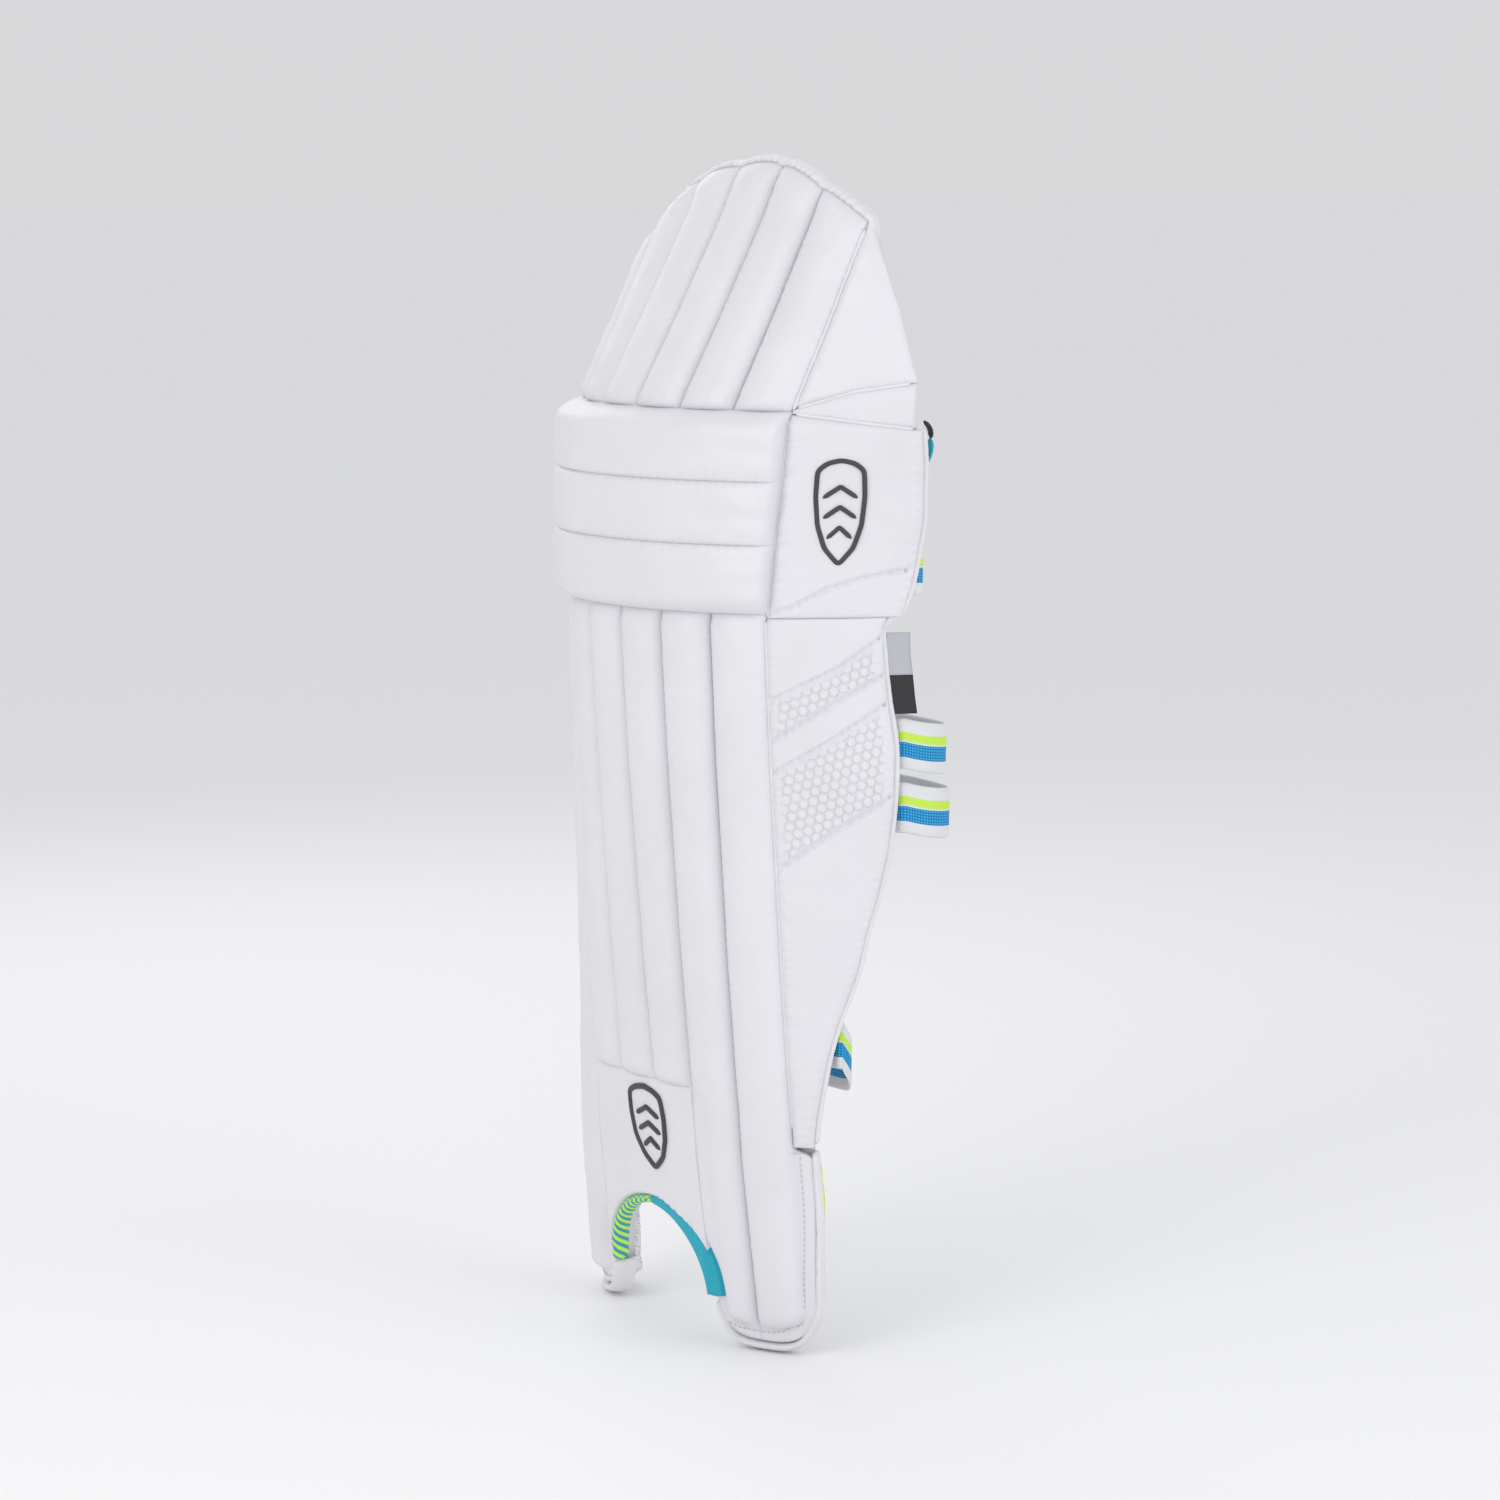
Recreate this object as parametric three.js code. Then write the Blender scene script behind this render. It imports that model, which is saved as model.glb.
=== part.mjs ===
// Cricket leg pad for the left leg. Millimetres, +Z up, the front of the pad faces -Y,
// the calf wing is on +X and the open back of the pad is on +Y.
//
// Every panel lies on one curved face. A place on that face is (k, z, d): k counts shin
// channels across the pad (0 is the centre of the middle channel, seams at odd halves,
// + towards the wing), z is the height and d the distance out from the face.
import * as THREE from 'three';

// ---------------------------------------------------------------- driving dimensions
const KNEE_LOW = 449;            // underside of the knee rolls
const KNEE_MID_1 = 490;          // seam between lower and middle roll
const KNEE_MID_2 = 527;          // seam between middle and upper roll
const KNEE_TOP = 567;            // seam between upper roll and top hat
const SHIN_FOOT = 160;           // foot of the three middle shin channels
const ARCH_TOP = 84;             // crown of the instep arch
const ARCH_SPRING = 30;          // height where the arch leaves its straight sides
const ARCH_HALF = 1.52;          // half width of the arch, in channels
const LOBE_EDGE = 3.87;          // outer edge of each foot lobe, in channels
const LOBE_FOOT = 7;             // foot of the padded part of the lobes
const CHANNEL_BULGE = 6;         // how far a padded channel stands out
const ROLL_PROUD = 17;           // how far a knee roll stands out
const SKIN = 8;                  // padded face, front to back
const CANE_DEPTH = 11.6;         // depth of the cane axes behind the face
const CANE_R = 2.9;
const LINING = [15, 21];         // depth of the lining, front and back
const WING_THICK = 12;
const FLAP_THICK = 13;
const STRAP_THICK = 2.4;
const STRAP_WIDE = 30;
const STRAP_LIFT = 5.9;          // strap centre above the inner flap where it is fastened
const PATCH = 1.5;               // thickness of one hook or loop patch
const PLAN_CENTRE = [12.55, 79.05]; // middle of the plan, in the coordinates of the face
const GAP = 0.3;                 // clearance between neighbouring pieces
const PIPE_R = 2.4;
const HAT_FLEX = 8;              // how far the top hat folds back, degrees

// Height of the front face centre line, and channel width, by height.
const FACE_Y = [[0, 45], [120, 27], [240, 15], [360, 5], [440, 0], [560, 4.5], [620, 38], [680, 70], [730, 92]];
const CHANNEL_W = [[0, 33.2], [150, 35.5], [440, 34.6], [560, 38], [730, 36.7]];
// The medial side of the foot flares: its channels are wider by this share near the floor, out to k = -FLARE_END.
const FOOT_FLARE = [[0, 0.4], [60, 0.33], [100, 0.26], [130, 0.19], [200, 0.085], [298, 0]];
const FLARE_END = 2.2;
// Turn of the face in degrees at k = -6 ... 6, by height.
const TURN = [
  [0, [-125, -112, -92, -42, -15, -3, 0, 4.3, 18.8, 29.5, 52, 60, 64]],
  [170, [-128, -116, -96, -45, -23, -7, 0, 6.9, 16.2, 29.9, 58, 66, 70]],
  [440, [-128, -118, -99, -52, -34, -17, 0, 10.4, 25.4, 38.5, 62, 68, 72]],
  [560, [-124, -114, -94, -52, -34, -17, 0, 11.1, 25.3, 34.3, 58, 66, 70]],
  [730, [-90, -80, -70, -50, -30, -6, 0, 9.7, 15.1, 27.7, 44, 54, 60]],
];
// Rear edges in channels by height, and upper edges in height by channel.
const WING_EDGE = [[130, 3.9], [150, 3.98], [168, 4.11], [188, 4.26], [205, 4.43], [237, 4.83], [259, 5.01],
  [280, 5.23], [309, 5.47], [338, 5.62], [368, 5.69], [400, 5.6], [425, 5.56], [447, 5.72], [465, 5.8], [504, 5.79],
  [537, 5.68], [567, 5.5]];
const HAT_EDGE = [[3.5, 679], [3.72, 668], [4.2, 643], [4.52, 626], [4.8, 609.5], [5.06, 594], [5.24, 584.5]];
const GUSSET_TOP = [[3.5, 568.5], [3.84, 573], [4.34, 579], [4.9, 582], [5.24, 583.5], [5.5, 584]];
const FLAP_EDGE = [[150, -5.0], [250, -5.35], [545, -5.4]];
const HAT_TOP = [[-3.9, 590], [-3.2, 622], [-2.5, 648], [-1.5, 678], [-0.5, 702], [0.5, 710], [1.5, 711], [2.5, 698],
  [3.5, 679]];

// ---------------------------------------------------------------- materials
const paint = (hex, roughness, metalness = 0) =>
  new THREE.MeshStandardMaterial({ color: hex, roughness, metalness });
const LEATHER = paint(0xe6e5ea, 0.42);
const LEATHER_SOFT = paint(0xdfdee4, 0.5);
const MESH_CLOTH = paint(0xc9ccd2, 0.85);
const FOAM = paint(0xcfd0d4, 0.9);
const CANE = paint(0xb9945c, 0.6);
const TEAL = paint(0x18b7cd, 0.5);
const STRIPE = paint(0xbfe36a, 0.5);
const PIPING = paint(0xf2f2f4, 0.4);
const WEBBING = paint(0x0898dc, 0.75);
const HOOK = paint(0x2b2d30, 0.9);
const BADGE = paint(0x3e4044, 0.55);
const LABEL = paint(0x8c9096, 0.6);

const pad = new THREE.Group();
pad.name = 'cricket_leg_pad';

// ---------------------------------------------------------------- the curved face
function lerp(table, x) {
  const n = table.length;
  if (x <= table[0][0]) return table[0][1];
  if (x >= table[n - 1][0]) return table[n - 1][1];
  let i = 1;
  while (table[i][0] < x) i += 1;
  const [x0, y0] = table[i - 1];
  const [x1, y1] = table[i];
  return y0 + ((x - x0) / (x1 - x0)) * (y1 - y0);
}

function turn(k, z) {
  const at = Math.min(Math.max(k + 6, 0), 11.999);
  const i = Math.floor(at);
  const f = at - i;
  const column = (j) => lerp(TURN.map(([level, row]) => [level, row[j]]), z);
  return THREE.MathUtils.degToRad(column(i) * (1 - f) + column(i + 1) * f);
}

const rowCache = new Map();
function row(z) {
  const key = Math.round(z * 20);
  if (!rowCache.has(key)) {
    const step = 0.05;
    const w = lerp(CHANNEL_W, z) * step;
    const line = new Map([[0, [0, 0]]]);
    for (const side of [-1, 1]) {
      let x = 0;
      let y = 0;
      for (let i = 1; i <= 140; i += 1) {
        const a = turn(side * (i - 0.5) * step, z);
        const flare = side < 0 && i * step <= FLARE_END ? lerp(FOOT_FLARE, z) : 0;
        x += side * w * (1 + flare) * Math.cos(a);
        y += side * w * (1 + flare) * Math.sin(a);
        line.set(side * i, [x, y]);
      }
    }
    rowCache.set(key, line);
  }
  return rowCache.get(key);
}

function facePoint(k, z, d = 0) {
  const line = row(z);
  const at = k / 0.05;
  const i = Math.floor(at + 1e-9);
  const f = at - i;
  const [x0, y0] = line.get(i);
  const [x1, y1] = line.get(i + 1) ?? [x0, y0];
  const a = turn(k, z);
  return new THREE.Vector3(
    x0 + (x1 - x0) * f + d * Math.sin(a),
    lerp(FACE_Y, z) + y0 + (y1 - y0) * f - d * Math.cos(a),
    z,
  );
}

const outward = (k, z) => new THREE.Vector3(Math.sin(turn(k, z)), -Math.cos(turn(k, z)), 0);
const along = (k, z) => new THREE.Vector3(Math.cos(turn(k, z)), Math.sin(turn(k, z)), 0);
const channels = (mm, z) => mm / lerp(CHANNEL_W, z);

// ---------------------------------------------------------------- solids
function addMesh(name, material, points, faces) {
  const signed = faces.reduce((sum, [a, b, c]) =>
    sum + points[a].dot(new THREE.Vector3().crossVectors(points[b], points[c])), 0);
  const geometry = new THREE.BufferGeometry();
  geometry.setAttribute('position', new THREE.Float32BufferAttribute(points.flatMap((p) => p.toArray()), 3));
  geometry.setIndex(faces.flatMap(([a, b, c]) => (signed > 0 ? [a, b, c] : [a, c, b])));
  geometry.computeVertexNormals();
  const mesh = new THREE.Mesh(geometry, material);
  mesh.name = name;
  pad.add(mesh);
  return mesh;
}

// A panel: an outer and an inner skin over a patch of the face, closed round its rim.
function panel(name, material, nu, nv, place, outer, inner) {
  const points = [];
  for (const depth of [outer, inner])
    for (let j = 0; j <= nv; j += 1)
      for (let i = 0; i <= nu; i += 1) {
        const s = i / nu;
        const t = j / nv;
        const [k, z] = place(s, t);
        points.push(facePoint(k, z, depth(s, t)));
      }
  const at = (layer, i, j) => layer * (nu + 1) * (nv + 1) + j * (nu + 1) + i;
  const faces = [];
  for (let j = 0; j < nv; j += 1)
    for (let i = 0; i < nu; i += 1)
      for (const layer of [0, 1]) {
        const [a, b, c, d] = [at(layer, i, j), at(layer, i + 1, j), at(layer, i + 1, j + 1), at(layer, i, j + 1)];
        if (layer) faces.push([a, c, b], [a, d, c]);
        else faces.push([a, b, c], [a, c, d]);
      }
  const rim = [];
  for (let i = 0; i < nu; i += 1) rim.push([i, 0]);
  for (let j = 0; j < nv; j += 1) rim.push([nu, j]);
  for (let i = nu; i > 0; i -= 1) rim.push([i, nv]);
  for (let j = nv; j > 0; j -= 1) rim.push([0, j]);
  rim.forEach(([i, j], n) => {
    const [p, q] = rim[(n + 1) % rim.length];
    faces.push([at(0, i, j), at(1, i, j), at(1, p, q)], [at(0, i, j), at(1, p, q), at(0, p, q)]);
  });
  return addMesh(name, material, points, faces);
}

// A bar of one closed cross-section carried along stations {at, across, up}.
function bar(name, material, stations, section) {
  const n = section.length;
  const points = stations.flatMap(({ at, across, up }) =>
    section.map(([a, b]) => at.clone().addScaledVector(across, a).addScaledVector(up, b)));
  const faces = [];
  for (let s = 0; s + 1 < stations.length; s += 1)
    for (let i = 0; i < n; i += 1) {
      const a = s * n + i;
      const b = s * n + ((i + 1) % n);
      faces.push([a, b, b + n], [a, b + n, a + n]);
    }
  for (let i = 1; i + 1 < n; i += 1) faces.push([0, i + 1, i]);
  const last = (stations.length - 1) * n;
  for (let i = 1; i + 1 < n; i += 1) faces.push([last, last + i, last + i + 1]);
  return addMesh(name, material, points, faces);
}

const round = (r, n = 8) => Array.from({ length: n }, (_, i) =>
  [r * Math.cos((2 * Math.PI * i) / n), r * Math.sin((2 * Math.PI * i) / n)]);
const oval = (a, b, n = 12) => round(1, n).map(([x, y]) => [x * a, y * b]);

// Stations for a round bar lying on the face along a list of [k, z, d].
function onFace(list) {
  const spots = list.map(([k, z, d]) => facePoint(k, z, d));
  return spots.map((at, i) => {
    const run = spots[Math.min(i + 1, spots.length - 1)].clone().sub(spots[Math.max(i - 1, 0)]).normalize();
    const [k, z] = list[i];
    const across = outward(k, z).addScaledVector(run, -outward(k, z).dot(run)).normalize();
    return { at, across, up: new THREE.Vector3().crossVectors(run, across).normalize() };
  });
}

const dome = (s) => Math.sqrt(Math.max(0, 1 - (2 * s - 1) ** 2));
const soften = (t, ends) => Math.min(1, Math.sqrt(Math.max(0, 1 - (1 - Math.min(t, 1 - t) / ends) ** 2)));
const endRound = (t, ends) => (Math.min(t, 1 - t) < ends ? soften(t, ends) : 1);
const span = (n, a, b) => Array.from({ length: n + 1 }, (_, i) => a + ((b - a) * i) / n);

// ---------------------------------------------------------------- instep arch and lobes
// The arch is a half ellipse standing on straight sides.
const archZ = (k) => ARCH_SPRING + (ARCH_TOP - ARCH_SPRING) * Math.sqrt(Math.max(0, 1 - (k / ARCH_HALF) ** 2));
const archK = (z) => ARCH_HALF * Math.sqrt(Math.max(0, 1 - (Math.max(0, z - ARCH_SPRING) / (ARCH_TOP - ARCH_SPRING)) ** 2));
function lobeFoot(k) {
  const s = (Math.abs(k) - 2.55) / (LOBE_EDGE - 2.55);
  return LOBE_FOOT + 26 * Math.pow(Math.abs(s), 3.2);
}

// ---------------------------------------------------------------- shin channels and canes
for (let n = 1; n <= 7; n += 1) {
  const centre = 4 - n;
  const inLobe = Math.abs(centre) >= 2;
  const foot = (k) => (inLobe ? lobeFoot(k) : SHIN_FOOT);
  const half = 0.5 - channels(GAP / 2, 300);
  panel(`shin_channel_${n}`, LEATHER, 5, inLobe ? 13 : 7,
    (s, t) => {
      if (!inLobe) return [centre - half + 2 * half * s, foot(0) + (KNEE_LOW - GAP - foot(0)) * t];
      // In the lobes a channel gives way to the arch on its inner side and to the margin on its outer side.
      const side = Math.sign(centre);
      const across = centre > 0 ? s : 1 - s;
      const wide = Math.abs(centre) === 3 ? LOBE_EDGE - 0.1 : 3 - half - 0.5;
      const guess = Math.abs(centre) - half + (wide - Math.abs(centre) + half) * across;
      const z = lerp([[0, foot(guess)], [4 / 13, 122], [5 / 13, 131.5], [1, KNEE_LOW - GAP]], t);
      const inner = Math.abs(centre) === 2 ? Math.max(1.5 + 0.5 - half, archK(z) + 0.1) : 2.5 + 0.5 - half;
      const outer = Math.abs(centre) === 3 ? lerp([[122, LOBE_EDGE - 0.1], [131.5, 2.5 + 2 * half]], z) : 2 + half;
      return [side * (inner + (outer - inner) * across), z];
    },
    (s, t) => CHANNEL_BULGE * dome(0.04 + 0.92 * s) * endRound(0.02 + 0.96 * t, 0.06) - 0.5,
    () => -SKIN);
  const low = inLobe ? 30 : SHIN_FOOT + 6;
  bar(`cane_${n}`, CANE, onFace(span(inLobe ? 8 : 6, low, KNEE_LOW - 4).map((z) => [centre, z, -CANE_DEPTH])),
    round(CANE_R, 6));
}

panel('shin_lining', MESH_CLOTH, 14, 6,
  (s, t) => [-3.5 + 7 * s, SHIN_FOOT + 5 + (KNEE_LOW - SHIN_FOOT - 5.3) * t],
  () => -LINING[0], () => -LINING[1]);

// ---------------------------------------------------------------- foot
panel('instep_panel', LEATHER, 10, 4,
  (s, t) => {
    const k = -1.44 + 2.88 * s;
    return [k, archZ(k) + 1 + (SHIN_FOOT - GAP - archZ(k) - 1) * t];
  },
  (s, t) => 2.5 * endRound(0.03 + 0.94 * s, 0.15) * endRound(0.05 + 0.9 * t, 0.2) - 0.5, () => -LINING[1]);

for (const [side, word] of [[1, 'lateral'], [-1, 'medial']]) {
  const lip = ARCH_HALF + 0.1;
  panel(`lobe_backing_${word}`, MESH_CLOTH, 6, 5,
    (s, t) => [side * (lip + (3.5 - lip) * s), (SHIN_FOOT + 4.6) * t],
    () => -LINING[0], () => -LINING[1]);
  // Binding that runs round the outer margin of the lobe, from the notch under the wing to the arch.
  const run = [[LOBE_EDGE, 120], [LOBE_EDGE + 0.02, 95], [LOBE_EDGE + 0.02, 60], [LOBE_EDGE + 0.04, 40],
    [LOBE_EDGE + 0.08, 26.5], ...[3.86, 3.6, 3.3, 3, 2.7, 2.4, 2.1, 1.85].map((k) => [k, lobeFoot(k) - 4.6])];
  bar(`lobe_binding_${word}`, PIPING, onFace(run.map(([k, z]) => [side * k - (side < 0 ? 0.04 : 0), z, -3.2])),
    oval(3.6, 2.3, 8));
}

const archRun = (from, to, n) => span(n, from, to).map((turnAt) => {
  const a = THREE.MathUtils.degToRad(turnAt);
  return [-(ARCH_HALF - 0.1) * Math.cos(a), ARCH_SPRING + (ARCH_TOP - 3.4 - ARCH_SPRING) * Math.sin(a), -5];
});
const archLeg = (side) => [side * (ARCH_HALF - 0.1), 22, -5];
bar('instep_binding_striped', STRIPE, onFace([archLeg(-1), ...archRun(0, 84, 7)]), oval(6.4, 2.2, 8));
bar('instep_binding_teal', TEAL, onFace([...archRun(86, 180, 8), archLeg(1)]), oval(6.4, 2.2, 8));

// ---------------------------------------------------------------- knee
const rollLines = [KNEE_LOW, KNEE_MID_1, KNEE_MID_2, KNEE_TOP];
['lower', 'middle', 'upper'].forEach((word, n) => {
  const low = rollLines[n] + GAP / 2;
  const high = rollLines[n + 1] - GAP / 2;
  panel(`knee_roll_${word}`, LEATHER, 18, 6,
    (s, t) => [-3.5 + 6.97 * s, low + (high - low) * t],
    (s, t) => 1 + (ROLL_PROUD - 1) * endRound(0.005 + 0.99 * s, 0.09) * dome(0.05 + 0.9 * t), () => -2);
});
panel('knee_backing', FOAM, 14, 4,
  (s, t) => [-3.5 + 6.97 * s, KNEE_LOW + 0.3 + (KNEE_TOP - KNEE_LOW - 3) * t],
  () => -2 - GAP, () => -LINING[1]);

// ---------------------------------------------------------------- top hat
// Its lower edge climbs towards the sides, so that the hat can fold back about the knee seam.
const hatLow = (k, depth) => {
  const y = facePoint(k, KNEE_TOP, -depth).y - facePoint(0, KNEE_TOP, 0).y;
  return KNEE_TOP + 1 + Math.max(0, y) * Math.tan(THREE.MathUtils.degToRad(HAT_FLEX + 1));
};
for (let n = 1; n <= 6; n += 1) {
  const centre = 4 - n;
  const half = 0.5 - channels(GAP / 2, 620);
  panel(`hat_channel_${n}`, LEATHER, 5, 8,
    (s, t) => {
      const k = centre - half + 2 * half * s;
      const top = lerp(HAT_TOP, k) + 2 * dome(s);
      const low = hatLow(k, SKIN);
      return [k, low + (top - low) * t];
    },
    (s, t) => CHANNEL_BULGE * dome(0.04 + 0.92 * s) * endRound(0.03 + 0.94 * t, 0.1) - 0.5,
    () => -SKIN);
}
panel('hat_lining', MESH_CLOTH, 12, 5,
  (s, t) => {
    const k = -2.45 + 5.9 * s;
    const low = hatLow(k, 15);
    return [k, low + (lerp(HAT_TOP, k) - 1 - low) * t];
  },
  () => -SKIN - 1, () => -15);

// The side panels close the hat down to the knee on either side.
function hatSide(name, inner, outer, edgeTop, low) {
  panel(name, LEATHER_SOFT, 8, 8,
    (s, t) => {
      const k = inner + (outer - inner) * s;
      const z0 = low(k);
      return [k, z0 + (Math.max(edgeTop(k), z0 + 4) - z0) * t];
    },
    (s, t) => 2 * endRound(0.03 + 0.94 * s, 0.2) * endRound(0.03 + 0.94 * t, 0.2) - 0.5, () => -SKIN);
}
const kneePanelTop = (k) => KNEE_TOP - 1 - 4.6 * Math.max(0, k - 3.5);
hatSide('hat_side_lateral', 3.505, 5.24, (k) => lerp(HAT_EDGE, k),
  (k) => Math.max(lerp(GUSSET_TOP, k) + GAP, hatLow(k, SKIN) - 4.6 * (k - 3.5)));
hatSide('hat_side_medial', -2.505, -3.9, (k) => lerp(HAT_TOP, k), (k) => hatLow(k, SKIN));
panel('knee_gusset', LEATHER_SOFT, 8, 2,
  (s, t) => {
    const k = 3.6 + 1.64 * s;
    const low = kneePanelTop(k) + 0.6;
    return [k, low + (lerp(GUSSET_TOP, k) - low) * t];
  },
  (s, t) => -0.5 - 2.5 * Math.sin(Math.PI * t) * s, (s, t) => -SKIN - 2.5 * Math.sin(Math.PI * t) * s);

// Bound edge over the top of the hat and down its rear edges.
const hatRim = [
  ...[[-4.03, 590], [-4.03, 599]],
  ...span(14, -3.5, 3.5).map((k) => [k, lerp(HAT_TOP, k) + 5.4]),
  [3.82, 673], [4.3, 648.5], [4.63, 631], [4.92, 614], [5.18, 598.5], [5.37, 589], [5.42, 584],
];
bar('hat_binding', PIPING, onFace(hatRim.map(([k, z]) => [k, z, -3.4])), oval(5.6, 2.4, 8));

// ---------------------------------------------------------------- wing
// The knee side panel and the calf panel flex outwards together about the stitched edge.
panel('wing_knee_panel', LEATHER_SOFT, 8, 6,
  (s, t) => {
    const high = kneePanelTop(3.535 + 2 * s);
    const z = KNEE_LOW + GAP / 2 + (high - GAP - KNEE_LOW) * t;
    return [3.535 + (lerp(WING_EDGE, z) - 3.535) * s, z];
  },
  (s, t) => 3.2 * endRound(0.03 + 0.94 * s, 0.2) * endRound(0.05 + 0.9 * t, 0.2) - 0.5, () => -WING_THICK);
panel('wing_calf_panel', LEATHER_SOFT, 8, 12,
  (s, t) => {
    const z = 133 + (KNEE_LOW - GAP / 2 - 133) * t;
    return [3.535 + (lerp(WING_EDGE, z) - 3.535) * s, z];
  },
  (s, t) => 2.6 * endRound(0.03 + 0.94 * s, 0.2) * endRound(0.02 + 0.96 * t, 0.06) - 0.5, () => -WING_THICK);
bar('wing_piping', PIPING,
  onFace([136, 150, 168, 188, 205, 221, 237, 259, 280, 309, 338, 368, 400, 425, 447, 465, 504, 537, 552]
    .map((z) => [lerp(WING_EDGE, z) + channels(PIPE_R + 1.6, z), z, -2.6])),
  round(PIPE_R, 8));
const labelEdge = (z) => lerp(WING_EDGE, z) + channels(2 * PIPE_R + 2.6, z);
panel('sewn_label', LABEL, 2, 4,
  (s, t) => {
    const z = 389 + 48 * t;
    return [labelEdge(z) + channels(9.5 * s, z), z];
  },
  () => -2, () => -3.4);

// ---------------------------------------------------------------- inner flap and padding behind the face
panel('inner_flap', LEATHER_SOFT, 8, 8,
  (s, t) => {
    const z = 150 + (545 - 150) * t;
    return [-3.535 + (lerp(FLAP_EDGE, z) + 3.535) * s, z];
  },
  () => 0, (s) => -FLAP_THICK + 5 * (1 - endRound(0.03 + 0.94 * s, 0.25)));
bar('inner_flap_piping', PIPING,
  onFace([153, 200, 250, 300, 350, 400, 450, 500, 542].map((z) => [lerp(FLAP_EDGE, z) - channels(PIPE_R + 0.4, z), z, -6])),
  round(PIPE_R, 8));

for (const [side, word] of [[1, 'lateral'], [-1, 'medial']]) {
  const stations = onFace(span(10, 172, 440).map((z) => [side * 2.35, z, -LINING[1] - 10.5]));
  stations.forEach((station, i) => {
    const end = i === 0 || i === stations.length - 1 ? 0.55 : 1;
    station.across.multiplyScalar(end);
    station.up.multiplyScalar(end);
  });
  bar(`bolster_${word}`, FOAM, stations, oval(9.6, 17, 12));
}
const cup = onFace(span(12, -2.6, 2.6).map((k) => [k, 492 - 9 * Math.cos((Math.PI * k) / 5.2), -LINING[1] - 9.5]));
[0, cup.length - 1].forEach((i) => {
  cup[i].across.multiplyScalar(0.5);
  cup[i].up.multiplyScalar(0.5);
});
bar('knee_cup', FOAM, cup, oval(8.6, 17, 12));

// ---------------------------------------------------------------- badges
// Plain raised emblems: a long shield on the knee side panel and on the instep panel.
function badge(name, kMid, zMid, wide, high, lift) {
  const outline = Array.from({ length: 20 }, (_, i) => {
    const a = (2 * Math.PI * i) / 20;
    return [(wide / 2) * Math.cos(a) * (1 - 0.18 * Math.sin(a)), (high / 2) * Math.sin(a)];
  });
  const points = [];
  for (const d of [lift, lift + 2])
    for (const [x, y] of outline) points.push(facePoint(kMid + channels(x, zMid), zMid + y, d));
  points.push(facePoint(kMid, zMid, lift), facePoint(kMid, zMid, lift + 2));
  const faces = [];
  for (let i = 0; i < 20; i += 1) {
    const j = (i + 1) % 20;
    faces.push([i, j, j + 20], [i, j + 20, i + 20], [i, 40, j], [i + 20, j + 20, 41]);
  }
  addMesh(name, BADGE, points, faces);
}
badge('knee_badge', 4.47, 509, 33, 66, 3.1);
badge('instep_badge', 0.28, 129, 40, 54, 2.4);

// ---------------------------------------------------------------- straps
// Each strap is sewn to the rear edge of the wing, goes round the back of the leg and is fastened on the inner flap.
const LAND = [-4.25, -4.9];
// loop is how far it stands out behind the wing, sag how far it drops within the first centimetres.
function strap(name, z, loop, sag) {
  const reach = Math.max(...span(6, z - 15, z + sag + 15).map((at) => lerp(WING_EDGE, at)));
  const root = facePoint(reach, z, -6).addScaledVector(along(reach, z), 6.8);
  const rear = facePoint(LAND[1], z, STRAP_LIFT);
  const back = Math.max(root.y + 1.25 * loop, rear.y + 22);
  const middle = [
    [root.x + 0.12 * loop, root.y + 0.45 * loop],
    [root.x - 0.12 * loop, root.y + 0.86 * loop],
    [root.x - 0.8 * loop, root.y + 1.12 * loop],
    [root.x - 1.9 * loop - 12, back],
    [(root.x + rear.x) / 2 - 10, back + 2],
    [rear.x + 58, (back + rear.y) / 2 + 12],
    [rear.x + 24, rear.y + 22],
  ].map(([x, y]) => new THREE.Vector3(x, y, z));
  const curve = new THREE.CatmullRomCurve3([root, ...middle, facePoint(-5.3, z, STRAP_LIFT + 1)], false, 'centripetal');
  const spots = [...curve.getSpacedPoints(34), ...span(5, -5.1, LAND[0]).map((k) => facePoint(k, z, STRAP_LIFT))];
  const length = spots.slice(1).reduce((sum, p, i) => sum + p.distanceTo(spots[i]), 0);
  let gone = 0;
  // Where it is fastened the strap lies in the slope of the flap.
  const slope = facePoint(-4.7, z + 15, 0).sub(facePoint(-4.7, z - 15, 0)).divideScalar(30);
  const stations = spots.map((at, i) => {
    if (i) gone += at.distanceTo(spots[i - 1]);
    const run = spots[Math.min(i + 1, spots.length - 1)].clone().sub(spots[Math.max(i - 1, 0)]).setZ(0).normalize();
    return {
      at: at.clone().setZ(z + sag * Math.exp(-gone / 24)),
      across: new THREE.Vector3(-run.y, run.x, 0),
      up: new THREE.Vector3(0, 0, 1).lerp(slope, Math.min(1, Math.max(0, (gone / length - 0.6) / 0.18))),
    };
  });
  const [a, b] = [STRAP_THICK / 2, STRAP_WIDE / 2];
  bar(name, WEBBING, stations, [[-a, -b], [a, -b], [a, b], [-a, b]]);
  const low = PATCH + GAP;
  panel(name.replace('strap', 'hook'), HOOK, 4, 1,
    (s, t) => [LAND[0] + (LAND[1] - LAND[0]) * s, z - 12.5 + 25 * t], () => 2 * low, () => low + GAP);
}
strap('knee_strap', 472, 15, 2);
strap('calf_upper_strap', 364, 36, 7);
strap('calf_lower_strap', 326, 38, 7);
strap('ankle_strap', 174, 14, 10);

for (const [word, low, high] of [['knee', 458, 486], ['calf', 312, 378], ['ankle', 160, 188]])
  panel(`${word}_loop`, HOOK, 4, 2,
    (s, t) => [LAND[0] + (LAND[1] - LAND[0]) * s, low + (high - low) * t], () => PATCH + GAP, () => GAP);

// Put the origin under the centre of the pad's plan.
pad.children.forEach((mesh) => mesh.geometry.translate(-PLAN_CENTRE[0], -PLAN_CENTRE[1], 0));

export default pad;
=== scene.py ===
import math

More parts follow.
